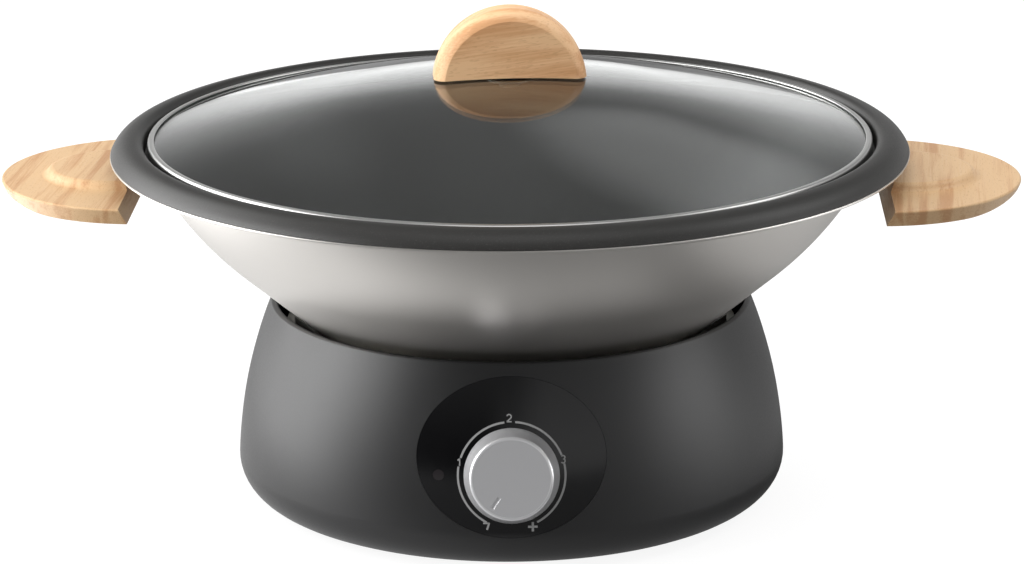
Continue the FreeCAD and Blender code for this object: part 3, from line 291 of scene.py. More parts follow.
def turned(profile: np.ndarray, steps: int = TURN_STEPS) -> Surface:
    """Surface of revolution about Z: r, z and a turn a give (r cos a, r sin a, z).

    A profile that starts and ends on the axis gets a pole at each end; any other is a
    closed loop.

    Args:
        profile: Rows of radius and height.
        steps: Number of steps round the axis.

    Returns:
        The points and the faces.
    """
    poles = profile[0, 0] < ON_AXIS and profile[-1, 0] < ON_AXIS
    rings = profile[1:-1] if poles else profile
    turn = np.linspace(0.0, TAU, steps, endpoint=False)
    x = rings[:, :1] * np.cos(turn)
    y = rings[:, :1] * np.sin(turn)
    z = np.broadcast_to(rings[:, 1:], x.shape)
    points = np.stack((x, y, z), axis=-1).reshape(-1, 3)
    faces = grid_faces(len(rings), steps, not poles, True).tolist()
    if poles:
        pole, end = len(points), (len(rings) - 1) * steps
        points = np.vstack((points, (0, 0, profile[0, 1]), (0, 0, profile[-1, 1])))
        faces += [[pole, (j + 1) % steps, j] for j in range(steps)]
        faces += [[pole + 1, end + j, end + (j + 1) % steps] for j in range(steps)]
    return points, faces


# -------- finishes


class Grain(Enum):
    """Way of the wood's grain: a turn in degrees about X, Y and Z from the X axis."""

    SIDE_HANDLE = (0.0, 0.0, 84.0)
    LID_KNOB = (0.0, -7.0, 4.0)


@dataclass(frozen=True)
class Finish:
    """What all finishes have.

    Args:
        name: Name of the material.
        colour: Its main colour, in hex.
    """

    name: str
    colour: str

    def make(self) -> Material:
        """Build the material; each kind of finish has its own way."""
        raise NotImplementedError


@dataclass(frozen=True)
class Textured(Finish):
    """A finish with patterns in its roughness and relief.

    Args:
        roughness: Mean roughness.
        spread: How far the roughness varies.
        relief_mm: Depth of the relief.
    """

    roughness: float = 0.5
    spread: float = 0.08
    relief_mm: float = 0.01

    def texture(self, made: Shading, gloss: Node, window: Pair, relief: Node,
                strength: float) -> Material:
        """Let one pattern vary the roughness and another raise the surface.

        Args:
            made: The material so far.
            gloss: Pattern that varies the roughness.
            window: Levels of that pattern that give the least and most roughness.
            relief: Pattern that raises the surface.
            strength: Strength of the relief.

        Returns:
            The finished material.
        """
        band = add(made.tree, "MapRange", {
            "Value": gloss, "From Min": window[0], "From Max": window[1],
            "To Min": self.roughness - self.spread,
            "To Max": self.roughness + self.spread})
        made.link(band.outputs["Result"], "Roughness")
        bump = add(made.tree, "Bump", {"Height": relief, "Strength": strength,
                                       "Distance": self.relief_mm * MM})
        made.link(bump.outputs["Normal"], "Normal")
        return made.material


@dataclass(frozen=True)
class Plain(Textured):
    """An even finish with a fine grit in its roughness and relief.

    Args:
        metallic: 1 for bare metal.
        grit_mm: Size of the surface grit.
    """

    metallic: float = 0.0
    grit_mm: float = 0.8

    def make(self) -> Material:
        """Build the material."""
        made = Shading(self.name, {"Base Color": linear(self.colour),
                                   "Metallic": self.metallic})
        place = add(made.tree, "TexCoord").outputs["Object"]
        grit = add(made.tree, "TexNoise", {
            "Vector": place, "Scale": 1 / (self.grit_mm * MM), "Detail": 3.0,
            "Roughness": 0.6})
        return self.texture(made, grit, (0.25, 0.75), grit, strength=0.35)


@dataclass(frozen=True)
class SpunSteel(Textured):
    """Stainless sheet polished on the lathe, so its fine lines run round the axis.

    Args:
        line_mm: Spacing of the lines, coarser than real ones so that they show.
        cloud_mm: Size of the broad patches that are a little duller.
    """

    spread: float = 0.025
    relief_mm: float = 0.0015
    line_mm: float = 0.9
    cloud_mm: float = 45.0

    def make(self) -> Material:
        """Build the material: noise on the radius and height gives the lines."""
        made = Shading(self.name, {"Base Color": linear(self.colour), "Metallic": 1.0})
        tree = made.tree
        place = add(tree, "TexCoord").outputs["Object"]
        flat = add(tree, "VectorMath", (place, (1.0, 1.0, 0.0)), operation="MULTIPLY")
        radius = add(tree, "VectorMath", (flat,), operation="LENGTH")
        height = add(tree, "SeparateXYZ", {"Vector": place}).outputs["Z"]
        rings = add(tree, "CombineXYZ", {"X": radius.outputs["Value"], "Y": height})
        lines = add(tree, "TexNoise", {
            "Vector": rings, "Scale": 1 / (self.line_mm * MM), "Detail": 4.0,
            "Roughness": 0.7})
        cloud = add(tree, "TexNoise", {
            "Vector": place, "Scale": 1 / (self.cloud_mm * MM), "Detail": 2.0})
        both = add(tree, "Math", (lines, cloud), operation="ADD")
        return self.texture(made, both, (0.7, 1.3), lines, strength=0.5)


@dataclass(frozen=True)
class NonStick(Textured):
    """Sprayed and baked non-stick coating: satin, with a fine speckle and orange peel.

    Args:
        speckle: Hex colour of the mineral flecks.
        fleck_mm: Size of the flecks.
        peel_mm: Size of the orange peel.
    """

    roughness: float = 0.46
    spread: float = 0.05
    relief_mm: float = 0.03
    speckle: str = "#393836"
    fleck_mm: float = 0.7
    peel_mm: float = 1.6

    def make(self) -> Material:
        """Build the material."""
        made = Shading(self.name)
        tree = made.tree
        place = add(tree, "TexCoord").outputs["Object"]
        flecks = add(tree, "TexNoise", {
            "Vector": place, "Scale": 1 / (self.fleck_mm * MM), "Detail": 2.0,
            "Roughness": 0.7})
        coat = linear(self.colour)
        colour = add(tree, "ValToRGB", {"Fac": flecks}, stops=(
            (0.0, coat), (0.58, coat), (0.70, linear(self.speckle))))
        made.link(colour.outputs["Color"], "Base Color")
        peel = add(tree, "TexNoise", {
            "Vector": place, "Scale": 1 / (self.peel_mm * MM), "Detail": 2.0})
        return self.texture(made, flecks, (0.3, 0.7), peel, strength=0.4)


@dataclass(frozen=True)
class Beech(Textured):
    """Steamed beech under clear satin lacquer: growth bands, fibres and ray flecks.

    Args:
        grain: Which way the grain runs.
        deep: Hex colour of the late wood; the main colour is the early wood's.
        fleck: Hex colour of the ray flecks.
        band_mm: Spacing of the growth bands.
        band_length_mm: Length of a growth band's waves along the grain.
        band_share: Weight of the bands against the fibres, which have the rest.
        fibre_mm: Spacing of the fibres, coarser than real ones so that they show.
        fibre_length_mm: Length of the fibres.
        fleck_mm: Length of the ray flecks.
        fleck_width_mm: Their width.
    """

    roughness: float = 0.47
    spread: float = 0.05
    relief_mm: float = 0.015
    grain: Grain = Grain.SIDE_HANDLE
    deep: str = "#c9996c"
    fleck: str = "#a5714a"
    band_mm: float = 6.5
    band_length_mm: float = 120.0
    band_share: float = 0.78
    fibre_mm: float = 0.9
    fibre_length_mm: float = 26.0
    fleck_mm: float = 3.0
    fleck_width_mm: float = 0.5

    def make(self) -> Material:
        """Build the material: three noises, each stretched along the grain."""
        made = Shading(self.name, {"Specular IOR Level": 0.4, "Coat Weight": 0.08,
                                   "Coat Roughness": 0.32})
        tree = made.tree
        place = add(tree, "TexCoord").outputs["Object"]
        turn = tuple(-math.radians(angle) for angle in self.grain.value)
        along = add(tree, "Mapping", {"Vector": place, "Rotation": turn})
        bands, fibres, flecks = (
            add(tree, "TexNoise", {
                "Vector": add(tree, "Mapping", {
                    "Vector": along, "Scale": tuple(1 / (side * MM) for side in size)}),
                "Scale": 1.0, "Detail": detail, "Roughness": rough, "Distortion": bend})
            for size, detail, rough, bend in (
                ((self.band_length_mm, self.band_mm, 2 * self.band_mm), 1.0, 0.4, 0.3),
                ((self.fibre_length_mm, self.fibre_mm, self.fibre_mm), 2.0, 0.5, 0.0),
                ((self.fleck_mm, *2 * [self.fleck_width_mm]), 0.0, 0.5, 0.0)))
        weighed = add(tree, "Math", (bands, self.band_share), operation="MULTIPLY")
        mixed = add(tree, "Math", (fibres, 1.0 - self.band_share, weighed),
                    operation="MULTIPLY_ADD")
        pale, deep = linear(self.colour), linear(self.deep)
        wood = add(tree, "ValToRGB", {"Fac": mixed}, stops=(
            (0.36, deep), (0.48, pale), (0.56, pale), (0.68, deep)))
        marks = add(tree, "MapRange", {"Value": flecks, "From Min": 0.66,
                                       "From Max": 0.76, "To Max": 0.28})
        colour = add(tree, "Mix", {0: marks, 6: wood, 7: linear(self.fleck)},
                     data_type="RGBA")
        made.link(colour.outputs[2], "Base Color")
        return self.texture(made, fibres, (0.3, 0.7), fibres, strength=0.25)


@dataclass(frozen=True)
class ClearGlass(Finish):
    """Clear polished glass; its colour is that of light that has passed through."""

    def make(self) -> Material:
        """Build the material."""
        return Shading(self.name, {
            "Base Color": linear(self.colour), "Transmission Weight": 1.0, "IOR": 1.5,
            "Roughness": 0.0}).material


@lru_cache(maxsize=None)
def coated(finish: Finish) -> Material:
    """The material of a finish, built once."""
    return finish.make()


# Polypropylene from a spark-eroded mould: matt, with a fine even grit.
HOUSING = Plain("matt_moulded_polypropylene", "#171718", 0.44, grit_mm=0.7,
                relief_mm=0.02, spread=0.05)
# ABS from a polished mould: deep black with clear reflections.
PANEL = Plain("gloss_black_abs", "#08080a", 0.16, grit_mm=6.0, relief_mm=0.004,
              spread=0.02)
# Pale grey ink from a silicone pad: a matt film a few hundredths thick.
PRINT = Plain("pale_grey_pad_print", "#a4a4a4", 0.5, grit_mm=0.3)
# ABS cap under satin silver lacquer: an even grey with a soft metal sheen.
SILVER = Plain("satin_silver_lacquer", "#c8c8ca", 0.42, metallic=0.45, grit_mm=0.5,
               relief_mm=0.004, spread=0.04)
# The cap's rounded edge and side, smoother than the face; its paler colour is partly a
# painted highlight.
EDGE_PAINTED_HIGHLIGHT = Plain("bright_aluminium_edge_painted_highlight", "#e4e4e6", 0.30, metallic=0.5, grit_mm=0.5,
                 relief_mm=0.002, spread=0.03)
# Bowl outside, brushed while it spins: broad soft lights with faint level lines.
SHELL_STEEL = SpunSteel("satin_spun_stainless_steel", "#cbc8c4", 0.41)
# Band round the glass, polished finer: a thin crisp light all the way round.
RIM_STEEL = SpunSteel("polished_stainless_steel", "#c8c8c6", 0.32, line_mm=0.5,
                      spread=0.03)
# Coating sprayed on and baked: charcoal, satin, faintly speckled.
COATING = NonStick("charcoal_non_stick_coating", "#252422")
# Lid, pressed and toughened: colourless, with clear reflections.
LID_GLASS = ClearGlass("toughened_lid_glass", "#eef1f0")
# Turned and sanded beech under lacquer; the knob's copy has wider bands and is painted
# lighter, as painted light for its dimly lit front face.
HANDLE_WOOD = Beech("lacquered_beech_handle", "#ddb88b")
KNOB_WOOD_PAINTED_LIGHTER = Beech("lacquered_beech_knob_painted_lighter", "#fbcd9c", grain=Grain.LID_KNOB,
                  deep="#e2a976", fleck="#c28a58", band_mm=9.0)

# The finish of each material slot.
SLOT_FINISHES = {
    "housing_plastic": HOUSING,
    "panel_plastic": PANEL,
    # Moulded and smoked: dark until the lamp behind it is lit.
    "lens_plastic": Plain("smoked_polycarbonate", "#242022", 0.12, spread=0.02),
    "lamp_glass": ClearGlass("lamp_glass", "#f0dcc8"),
    # Rolled sheet with an aluminium coat: bright, faintly mottled.
    "bright_sheet": Plain("bright_aluminised_sheet", "#c4c4c4", 0.28, metallic=1.0,
                          grit_mm=2.5),
    # Pressed and plated: a dull silver.
    "plated_steel": Plain("zinc_plated_steel", "#b4b4ae", 0.36, metallic=1.0,
                          grit_mm=1.5),
    # Drawn tube that heat has browned.
    "sheath_steel": Plain("heat_darkened_stainless_tube", "#5a5552", 0.45,
                          metallic=1.0),
    "bowl_steel": SHELL_STEEL,
    # Pressed and fired without glaze: chalky cream.
    "ceramic": Plain("unglazed_steatite", "#e6e0d0", 0.7, grit_mm=0.5, relief_mm=0.03),
    # Moulded bodies with a low, even sheen.
    "thermostat_plastic": Plain("moulded_phenolic", "#c8c0a4", 0.5),
    "block_plastic": Plain("moulded_nylon", "#dcdcd4", 0.45),
    "gland_plastic": Plain("black_nylon", "#1f1f20", 0.5),
    "knob_core_plastic": Plain("black_abs", "#222224", 0.45),
    # Drawn and turned metal, left bright.
    "copper_tube": Plain("drawn_copper", "#b87850", 0.3, metallic=1.0),
    "insert_brass": Plain("turned_brass", "#c8a050", 0.3, metallic=1.0),
    # Extruded and woven sleeves: matt, in the colours of the wires.
    "brown_insulation": Plain("brown_silicone_sleeve", "#5a3420", 0.55),
    "blue_insulation": Plain("blue_silicone_sleeve", "#244c9c", 0.55),
    "earth_insulation": Plain("green_yellow_sleeve", "#7c9c2c", 0.55),
    "white_insulation": Plain("white_glass_sleeve", "#dcdcdc", 0.65),
    # Powder paint on sheet: a fine dark texture.
    "cover_sheet": Plain("black_painted_sheet", "#242424", 0.5, grit_mm=1.2,
                         relief_mm=0.03),
    # Moulded rubber and silicone: dull, and soft at the edges.
    "foot_rubber": Plain("black_rubber", "#1c1c1c", 0.8),
    "gasket_silicone": Plain("black_silicone", "#161617", 0.6),
    "knob_cap_metal": SILVER,
    "lid_glass": LID_GLASS,
    "rim_steel": RIM_STEEL,
}
# The wooden pieces share a slot, but not their grain; the knob's copy is also painted
# lighter for its dimly lit face.
WOOD = {"left_handle": HANDLE_WOOD, "right_handle": HANDLE_WOOD, "lid_knob": KNOB_WOOD_PAINTED_LIGHTER}


# -------- camera and stage


@dataclass
class View:
    """The camera, placed from the height, distance and tilt of the view."""

    distance: float = 1700.0
    height: float = 583.71
    pitch_deg: float = 15.97
    roll_deg: float = 0.32
    aside: float = 0.6
    lens: float = 136.05
    sensor: float = 36.0

    def build(self) -> None:
        """Add the camera and make it the scene's."""
        data = bpy.data.cameras.new("view")
        data.lens, data.sensor_width = self.lens, self.sensor
        camera = new_object("view", data)
        tilt = Matrix.Rotation(math.radians(90 - self.pitch_deg), 4, "X")
        roll = Matrix.Rotation(math.radians(-self.roll_deg), 4, "Z")
        place = Vector((self.aside, -self.distance, self.height)) * MM
        camera.matrix_world = Matrix.Translation(place) @ tilt @ roll
        bpy.context.scene.camera = camera


@dataclass(frozen=True)
class Light:
    """A light that is seen in one direction from the object.

    Args:
        azimuth_deg: Turn of its middle from the front, to the right.
        elevation_deg: Height of its middle above the horizon.
    """

    azimuth_deg: float
    elevation_deg: float

    def way(self) -> Triple:
        """Unit vector towards it, from the cosines and sines of its angles."""
        turn, rise = math.radians(self.azimuth_deg), math.radians(self.elevation_deg)
        return (math.sin(turn) * math.cos(rise), -math.cos(turn) * math.cos(rise),
                math.sin(rise))


@dataclass(frozen=True)
class Softbox(Light):
    """A square lamp aimed at the middle of the object.

    Args:
        name: Name of the lamp.
        reach_m: Distance from the object.
        size_m: Side of the lamp.
        radiance: Brightness of its face.
        aim_m: Height of the point that it is aimed at.
    """

    name: str
    reach_m: float
    size_m: float
    radiance: float
    aim_m: float = 0.1

    def build(self) -> None:
        """Add the lamp; its power is the radiance times pi times its area."""
        data = bpy.data.lights.new(self.name, "AREA")
        data.shape, data.size = "SQUARE", self.size_m
        data.energy = self.radiance * math.pi * self.size_m ** 2
        way = Vector(self.way())
        lamp = new_object(self.name, data)
        lamp.location = way * self.reach_m + Vector((0.0, 0.0, self.aim_m))
        lamp.rotation_euler = way.to_track_quat("Z", "Y").to_euler()


@dataclass(frozen=True)
class Glow(Light):
    """A round patch of the surround that gloss alone sees, like a large diffuser.

    Args:
        inner_deg: Half its angle where it is full.
        outer_deg: Half its angle where it has faded out.
        level: Brightness of its middle.
    """

    inner_deg: float
    outer_deg: float
    level: float


@dataclass
class Stage:
    """Pale floor, a white surround that gloss sees as a studio, and soft lamps.

    Args:
        fill: Level of the surround that lights the object, before its slopes.
        slope: How much more comes from the right, the back and above.
        zenith: Gloss level above.
        low_band: Heights over which gloss goes from the low levels to the zenith's.
        around: Gloss level low down, from the front (0) to the back (1).
        ahead: Gloss level low down in front, left and right of the middle.
        ahead_x: Where in X the first of these goes over to the second.
        ahead_y: Where in Y they fade out.
        floor_half_m: Half the floor's side.
        floor_paper: Share of the floor's look that takes light and shadow.
        floor_glow: Share that is added for the eye.
        floor_bounce: Level that the floor sends up into the object.
        floor_x: Left and right end of the floor's gloss pattern.
        floor_y: Its front and back end.
        across: Gloss level of the floor from left (0) to right (1).
        along: Factor on that level from front (0) to back (1).
        lamps: The soft lamps.
        glows: The patches that gloss alone sees.
    """

    fill: float = 0.53
    slope: Triple = (-0.30, 0.15, 0.45)
    zenith: float = 0.22
    low_band: Pair = (0.02, 0.45)
    around: tuple[Pair, ...] = ((0.0, 0.0), (0.22, 0.05), (0.5, 0.55), (0.82, 0.705),
                                (1.0, 0.86))
    ahead: Pair = (0.02, 0.40)
    ahead_x: Pair = (-0.14, -0.08)
    ahead_y: Pair = (-0.75, -0.35)
    floor_half_m: float = 6.0
    floor_paper: float = 0.20
    floor_glow: float = 0.90
    floor_bounce: float = 0.10
    floor_x: Pair = (-0.4, 0.4)
    floor_y: Pair = (-0.4, 0.6)
    across: tuple[Pair, ...] = (
        (0.0, 8.0), (0.12, 1.15), (0.22, 0.96), (0.36, 0.94), (0.50, 0.44),
        (0.62, 0.30), (0.67, 0.02), (0.70, 0.02), (0.74, 0.46), (0.92, 0.5), (1.0, 1.7))
    along: tuple[Pair, ...] = (
        (0.0, 0.02), (0.20, 0.02), (0.26, 1.0), (0.42, 1.0), (0.5, 0.85), (0.6, 0.42),
        (0.85, 0.14))
    lamps: tuple[Softbox, ...] = (
        Softbox(-75.0, 22.0, "key_left", 1.7, 1.1, 5.4),
        Softbox(100.0, 45.0, "fill_right", 1.8, 0.8, 3.0),
        Softbox(10.0, 78.0, "top", 1.8, 1.0, 1.4),
    )
    glows: tuple[Glow, ...] = (
        Glow(-102.0, 0.0, 18.0, 36.0, 5.2),
        Glow(-128.0, 32.0, 8.0, 24.0, 4.2),
        Glow(82.0, 0.0, 10.0, 26.0, 4.6),
        Glow(38.0, 6.0, 22.0, 40.0, 0.35),
        Glow(168.0, 33.0, 3.0, 11.0, 0.35),
        Glow(180.0, 8.0, 4.0, 12.0, 0.35),
    )

    @staticmethod
    def shares(tree: Tree) -> tuple[Node, Node]:
        """How much of a ray is plain sight and how much is a mirror image.

        Returns:
            1 for a ray from the eye, also through glass, and 1 for one that gloss sent.
        """
        path = add(tree, "LightPath").outputs
        undiffused, unmirrored = (
            add(tree, "Math", (1.0, path[depth]), operation="SUBTRACT",
                use_clamp=True) for depth in ("Diffuse Depth", "Glossy Depth"))
        seen = add(tree, "Math", (path["Is Camera Ray"], path["Is Transmission Ray"]),
                   operation="MAXIMUM")
        direct = add(tree, "Math", (seen, unmirrored), operation="MULTIPLY")
        bounced = add(tree, "Math", (1.0, unmirrored), operation="SUBTRACT")
        return tuple(add(tree, "Math", (share, undiffused), operation="MULTIPLY")
                     for share in (direct, bounced))

    def gloss(self, tree: Tree, way: Socket) -> Node:
        """Level of the studio that gloss sees: a low band with glows, and dim above.

        Args:
            tree: The node tree.
            way: The direction of the ray.

        Returns:
            The level.
        """
        part = add(tree, "SeparateXYZ", {"Vector": way}).outputs
        low, turn, front, facing = (
            add(tree, "MapRange", {
                "Value": part[axis], "From Min": start, "From Max": end,
                "To Min": first, "To Max": last}, interpolation_type=kind)
            for axis, (start, end), (first, last), kind in (
                ("Z", self.low_band, (1.0, 0.0), "SMOOTHSTEP"),
                ("Y", (-1.0, 1.0), (0.0, 1.0), "LINEAR"),
                ("X", self.ahead_x, self.ahead, "LINEAR"),
                ("Y", self.ahead_y, (1.0, 0.0), "LINEAR")))
        rest = add(tree, "ValToRGB", {"Fac": turn}, stops=grey_stops(self.around))
        depth = add(tree, "Math", (front, facing, rest), operation="MULTIPLY_ADD")
        above = add(tree, "Math", (depth, self.zenith), operation="SUBTRACT")
        total = add(tree, "Math", (low, above, self.zenith), operation="MULTIPLY_ADD")
        for glow in self.glows:
            near = add(tree, "VectorMath", (way, glow.way()), operation="DOT_PRODUCT")
            patch = add(tree, "MapRange", {
                "Value": near.outputs["Value"],
                "From Min": math.cos(math.radians(glow.outer_deg)),
                "From Max": math.cos(math.radians(glow.inner_deg)),
                "To Max": glow.level}, interpolation_type="SMOOTHSTEP")
            total = add(tree, "Math", (total, patch), operation="ADD")
        return total

    def surround(self) -> None:
        """White to the eye, a studio to gloss, and to the rest a soft light all round.

        The level is the soft light, moved to each of the others by that share of a ray.
        """
        bpy.context.scene.world = bpy.data.worlds.new("surround")
        tree = empty_tree(bpy.context.scene.world)
        sight, mirror = self.shares(tree)
        way = add(tree, "TexCoord").outputs["Generated"]
        lean = add(tree, "VectorMath", (way, self.slope), operation="DOT_PRODUCT")
        light = add(tree, "Math", (lean.outputs["Value"], self.fill), operation="ADD")
        level = light
        for share, target in ((sight, 1.0), (mirror, self.gloss(tree, way))):
            gain = add(tree, "Math", (target, light), operation="SUBTRACT")
            level = add(tree, "Math", (share, gain, level), operation="MULTIPLY_ADD")
        shown = add(tree, "Background", {"Color": grey(1.0), "Strength": level})
        add(tree, "OutputWorld", {"Surface": shown})

    def floor(self) -> None:
        """Paper that keeps a soft shadow; in gloss it is bright left and dim ahead."""
        half = self.floor_half_m
        mesh = bpy.data.meshes.new("floor")
        mesh.from_pydata([(-half, -half, 0), (half, -half, 0), (half, half, 0),
                          (-half, half, 0)], [], [(0, 1, 2, 3)])
        material = bpy.data.materials.new("white_paper")
        mesh.materials.append(material)
        tree = empty_tree(material)
        material.cycles.emission_sampling = "NONE"
        sight, mirror = self.shares(tree)
        place = add(tree, "SeparateXYZ", {
            "Vector": add(tree, "TexCoord").outputs["Object"]}).outputs
        level, depth = (
            add(tree, "ValToRGB", {"Fac": add(tree, "MapRange", {
                "Value": place[axis], "From Min": start, "From Max": end})},
                stops=grey_stops(stops))
            for axis, (start, end), stops in (("X", self.floor_x, self.across),
                                              ("Y", self.floor_y, self.along)))
        shade = add(tree, "Math", (level, depth), operation="MULTIPLY")
        for_gloss = add(tree, "Math", (shade, mirror), operation="MULTIPLY")
        special = add(tree, "Math", (sight, mirror), operation="ADD")
        spread = add(tree, "Math", (1.0, special), operation="SUBTRACT", use_clamp=True)
        bounce = add(tree, "Math", (spread, self.floor_bounce, for_gloss),
                     operation="MULTIPLY_ADD")
        strength = add(tree, "Math", (sight, self.floor_glow, bounce),
                       operation="MULTIPLY_ADD")
        paper = add(tree, "BsdfDiffuse", {"Color": grey(self.floor_paper)})
        glow = add(tree, "Emission", {"Strength": strength})
        add(tree, "OutputMaterial", {
            "Surface": add(tree, "AddShader", (paper, glow))})
        new_object("floor", mesh)

    def build(self) -> None:
        """Add everything."""
        bpy.context.scene.view_settings.view_transform = "Standard"
        self.surround()
        self.floor()
        for lamp in self.lamps:
            lamp.build()


# -------- bowl


@dataclass
class BowlSkins:
    """The pressed steel bowl: a satin shell, and the dark coating on its food side.

    From the axis out come the flat bottom, a corner, the curved side, a ledge for the
    lid, a riser, a crest and the rolled flange.
    """

    bottom: float = 70.6
    wall: float = 2.0
    flat_r: float = 58.843
    corner_r: float = 50.0          # radius from the bottom to the side
    cone_deg: float = -49.5         # angle at which the corner meets the side
    side_centre: Pair = (29.62, 225.83)
    side_r: float = 149.0
    side_stop_deg: float = 0.35     # the side ends this much before the ledge
    ledge_z: float = 160.7
    ledge_r: float = 161.4
    throat_r: float = 165.0         # inside of the riser
    crest: Pair = (169.0, 164.9)
    crest_r: float = 4.0
    roll: Pair = (169.0, 156.962)
    roll_r: float = 11.938
    edge_deg: float = 22.86         # angle on the roll at which the sheet ends
    inner_ease: float = 0.7         # how far the ledge's inner corner is softened
    riser_ease: float = 0.9         # and its outer corner
    outer_ease: float = 0.4         # and the corner on the outside
    coat_t: float = 0.35
    coat_bed: float = 0.05          # how far the shell reaches into the coating
    bare_lip_deg: float = 1.6       # strip of the roll without coating

    def foot(self, floor: float, radius: float) -> np.ndarray:
        """Profile of the flat bottom at a height, and of its corner."""
        centre = (self.flat_r, self.bottom + self.corner_r)
        return np.vstack((line((0.0, floor), (self.flat_r, floor), 8)[:-1],
                          arc(centre, radius, -90, self.cone_deg, 20)))

    def food_side(self, drop: float, edge_deg: float) -> np.ndarray:
        """Profile of the food side, from the axis to the lip: straight runs and arcs.

        Args:
            drop: How far it is moved into the wall.
            edge_deg: Angle on the roll at which it ends.

        Returns:
            Rows of radius and height.
        """
        side = self.side_r - self.wall + drop
        ledge = self.ledge_z - drop
        riser = self.throat_r + drop
        top = math.degrees(math.asin((ledge - self.side_centre[1]) / side))
        wall = arc(self.side_centre, side, self.cone_deg, top - self.side_stop_deg, 40)
        inner = arc(self.side_centre, side, top, top, 1)[0]
        return np.vstack((
            self.foot(self.bottom + self.wall - drop, self.corner_r - self.wall + drop),
            wall, eased(wall[-1], inner, (self.throat_r, ledge), self.inner_ease),
            eased((self.ledge_r, ledge), (riser, ledge), (riser, self.crest[1]),
                  self.riser_ease),
            arc(self.crest, self.crest_r - drop, 180, 90, 12),
            arc(self.roll, self.roll_r - drop, 90, edge_deg, 28)[1:]))

    def shell_profile(self) -> np.ndarray:
        """Profile of the steel, from the axis outside to the lip and back inside."""
        under_ledge = self.ledge_z - self.wall
        top = math.degrees(math.asin((under_ledge - self.side_centre[1]) / self.side_r))
        side = arc(self.side_centre, self.side_r, self.cone_deg, top, 44)
        riser = self.throat_r + self.wall
        step = eased(side[-1], (riser, under_ledge), (riser, self.crest[1]),
                     self.outer_ease)
        middle = arc(self.roll, self.roll_r - self.wall / 2, self.edge_deg,
                     self.edge_deg, 1)[0]
        hem = arc(middle, self.wall / 2, self.edge_deg - 180, self.edge_deg, 14)
        food = self.food_side(self.coat_t - self.coat_bed,
                              self.edge_deg + self.bare_lip_deg)
        return np.vstack((
            self.foot(self.bottom, self.corner_r), side, step,
            arc(self.crest, self.crest_r - self.wall, 180, 90, 6),
            arc(self.roll, self.roll_r - self.wall, 90, self.edge_deg, 20)[1:-1],
            hem, food[::-1]))

    def coat_profile(self) -> np.ndarray:
        """Profile of the coating: its face, a soft end short of the lip, its back."""
        edge = self.edge_deg + self.bare_lip_deg
        face = self.food_side(0.0, edge)
        back = self.food_side(self.coat_t, edge)
        return np.vstack((face, line(face[-1], back[-1], 4)[1:-1], back[::-1]))

    def build(self) -> None:
        """Make both skins."""
        shell = piece("bowl_steel_shell", *turned(self.shell_profile()),
                      coated(SHELL_STEEL), "bowl")
        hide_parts("wok_bowl_floor", "wok_bowl_lower_side",
                    "wok_bowl_upper_side", "wok_bowl_flange")
        piece("bowl_non_stick_coating", *turned(self.coat_profile()), coated(COATING),
              "bowl")


# -------- lid


@dataclass
class GlassLid:
    """The glass dome and the rolled steel band round its edge.

    An ease is how far a corner is softened, to either side.
    """

    hole_r: float = 2.55
    glass_r: float = 161.75
    glass_t: float = 4.0
    glass_ease: float = 0.9
    glass_sharp_deg: float = 50.0
    crown_r: float = 400.0          # radius of the middle of the dome
    crown_deg: float = 11.537       # angle from the axis at which the skirt starts
    apex_z: float = 194.592
    skirt_r: float = 1100.0         # radius of the flatter part round it
    band_r: float = 163.3
    band_z: float = 161.0
    band_top: float = 168.0
    band_t: float = 1.0
    band_round: float = 1.5
    band_heel: float = 0.4          # lower outer edge
    foot_ease: float = 0.3          # inner corner of the foot
    lip_r: float = 160.3            # how far in the band reaches

    def dome(self, drop: float) -> np.ndarray:
        """Profile of the dome a drop below its face: a crown arc and a skirt arc."""
        crown_z = self.apex_z - self.crown_r
        turn = math.radians(self.crown_deg)
        skirt = ((self.crown_r - self.skirt_r) * math.sin(turn),
                 crown_z + (self.crown_r - self.skirt_r) * math.cos(turn))
        inner, outer = self.crown_r - drop, self.skirt_r - drop
        first = math.degrees(math.acos(self.hole_r / inner))
        last = math.degrees(math.acos((self.glass_r - skirt[0]) / outer))
        seam = 90 - self.crown_deg
        return np.vstack((arc((0.0, crown_z), inner, first, seam, 26),
                          arc(skirt, outer, seam, last, 24)[1:]))

    def glass_profile(self) -> np.ndarray:
        """Closed section of the glass with a ground, softened edge."""
        face, back = self.dome(0.0), self.dome(self.glass_t)
        rim = np.vstack((eased(face[-2], face[-1], back[-1], self.glass_ease),
                         eased(face[-1], back[-1], back[-2], self.glass_ease)))
        return np.vstack((face[:-1], rim, back[-2::-1]))

    def band_profile(self) -> np.ndarray:
        """Closed section of the band: foot, upright, rolled shoulder and lip."""
        shoulder = (self.band_r - self.band_round, self.band_top - self.band_round)
        foot = (self.band_r - self.band_t, self.band_z + self.band_t)
        heel = (self.band_r - self.band_heel, self.band_z + self.band_heel)
        half = self.band_t / 2
        return np.vstack((
            arc((self.lip_r + self.band_t, self.band_z + half), half, 270, 90, 7),
            eased((self.lip_r, foot[1]), foot, (foot[0], shoulder[1]),
                  self.foot_ease, 4),
            arc(shoulder, self.band_round - self.band_t, 0, 90, 8),
            arc((self.lip_r + half, self.band_top - half), half, 270, 90, 7),
            arc(shoulder, self.band_round, 90, 0, 12),
            arc(heel, self.band_heel, 0, -90, 6)))

    def build(self) -> None:
        """Make the glass and the band."""
        glass = piece("lid_dome_glass", *turned(self.glass_profile()),
                      coated(LID_GLASS), "lid", self.glass_sharp_deg)
        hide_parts("lid_glass")
        band = piece("lid_steel_band", *turned(self.band_profile()), coated(RIM_STEEL),
                     "lid")
        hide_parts("lid_rim")


# -------- dial and its scale


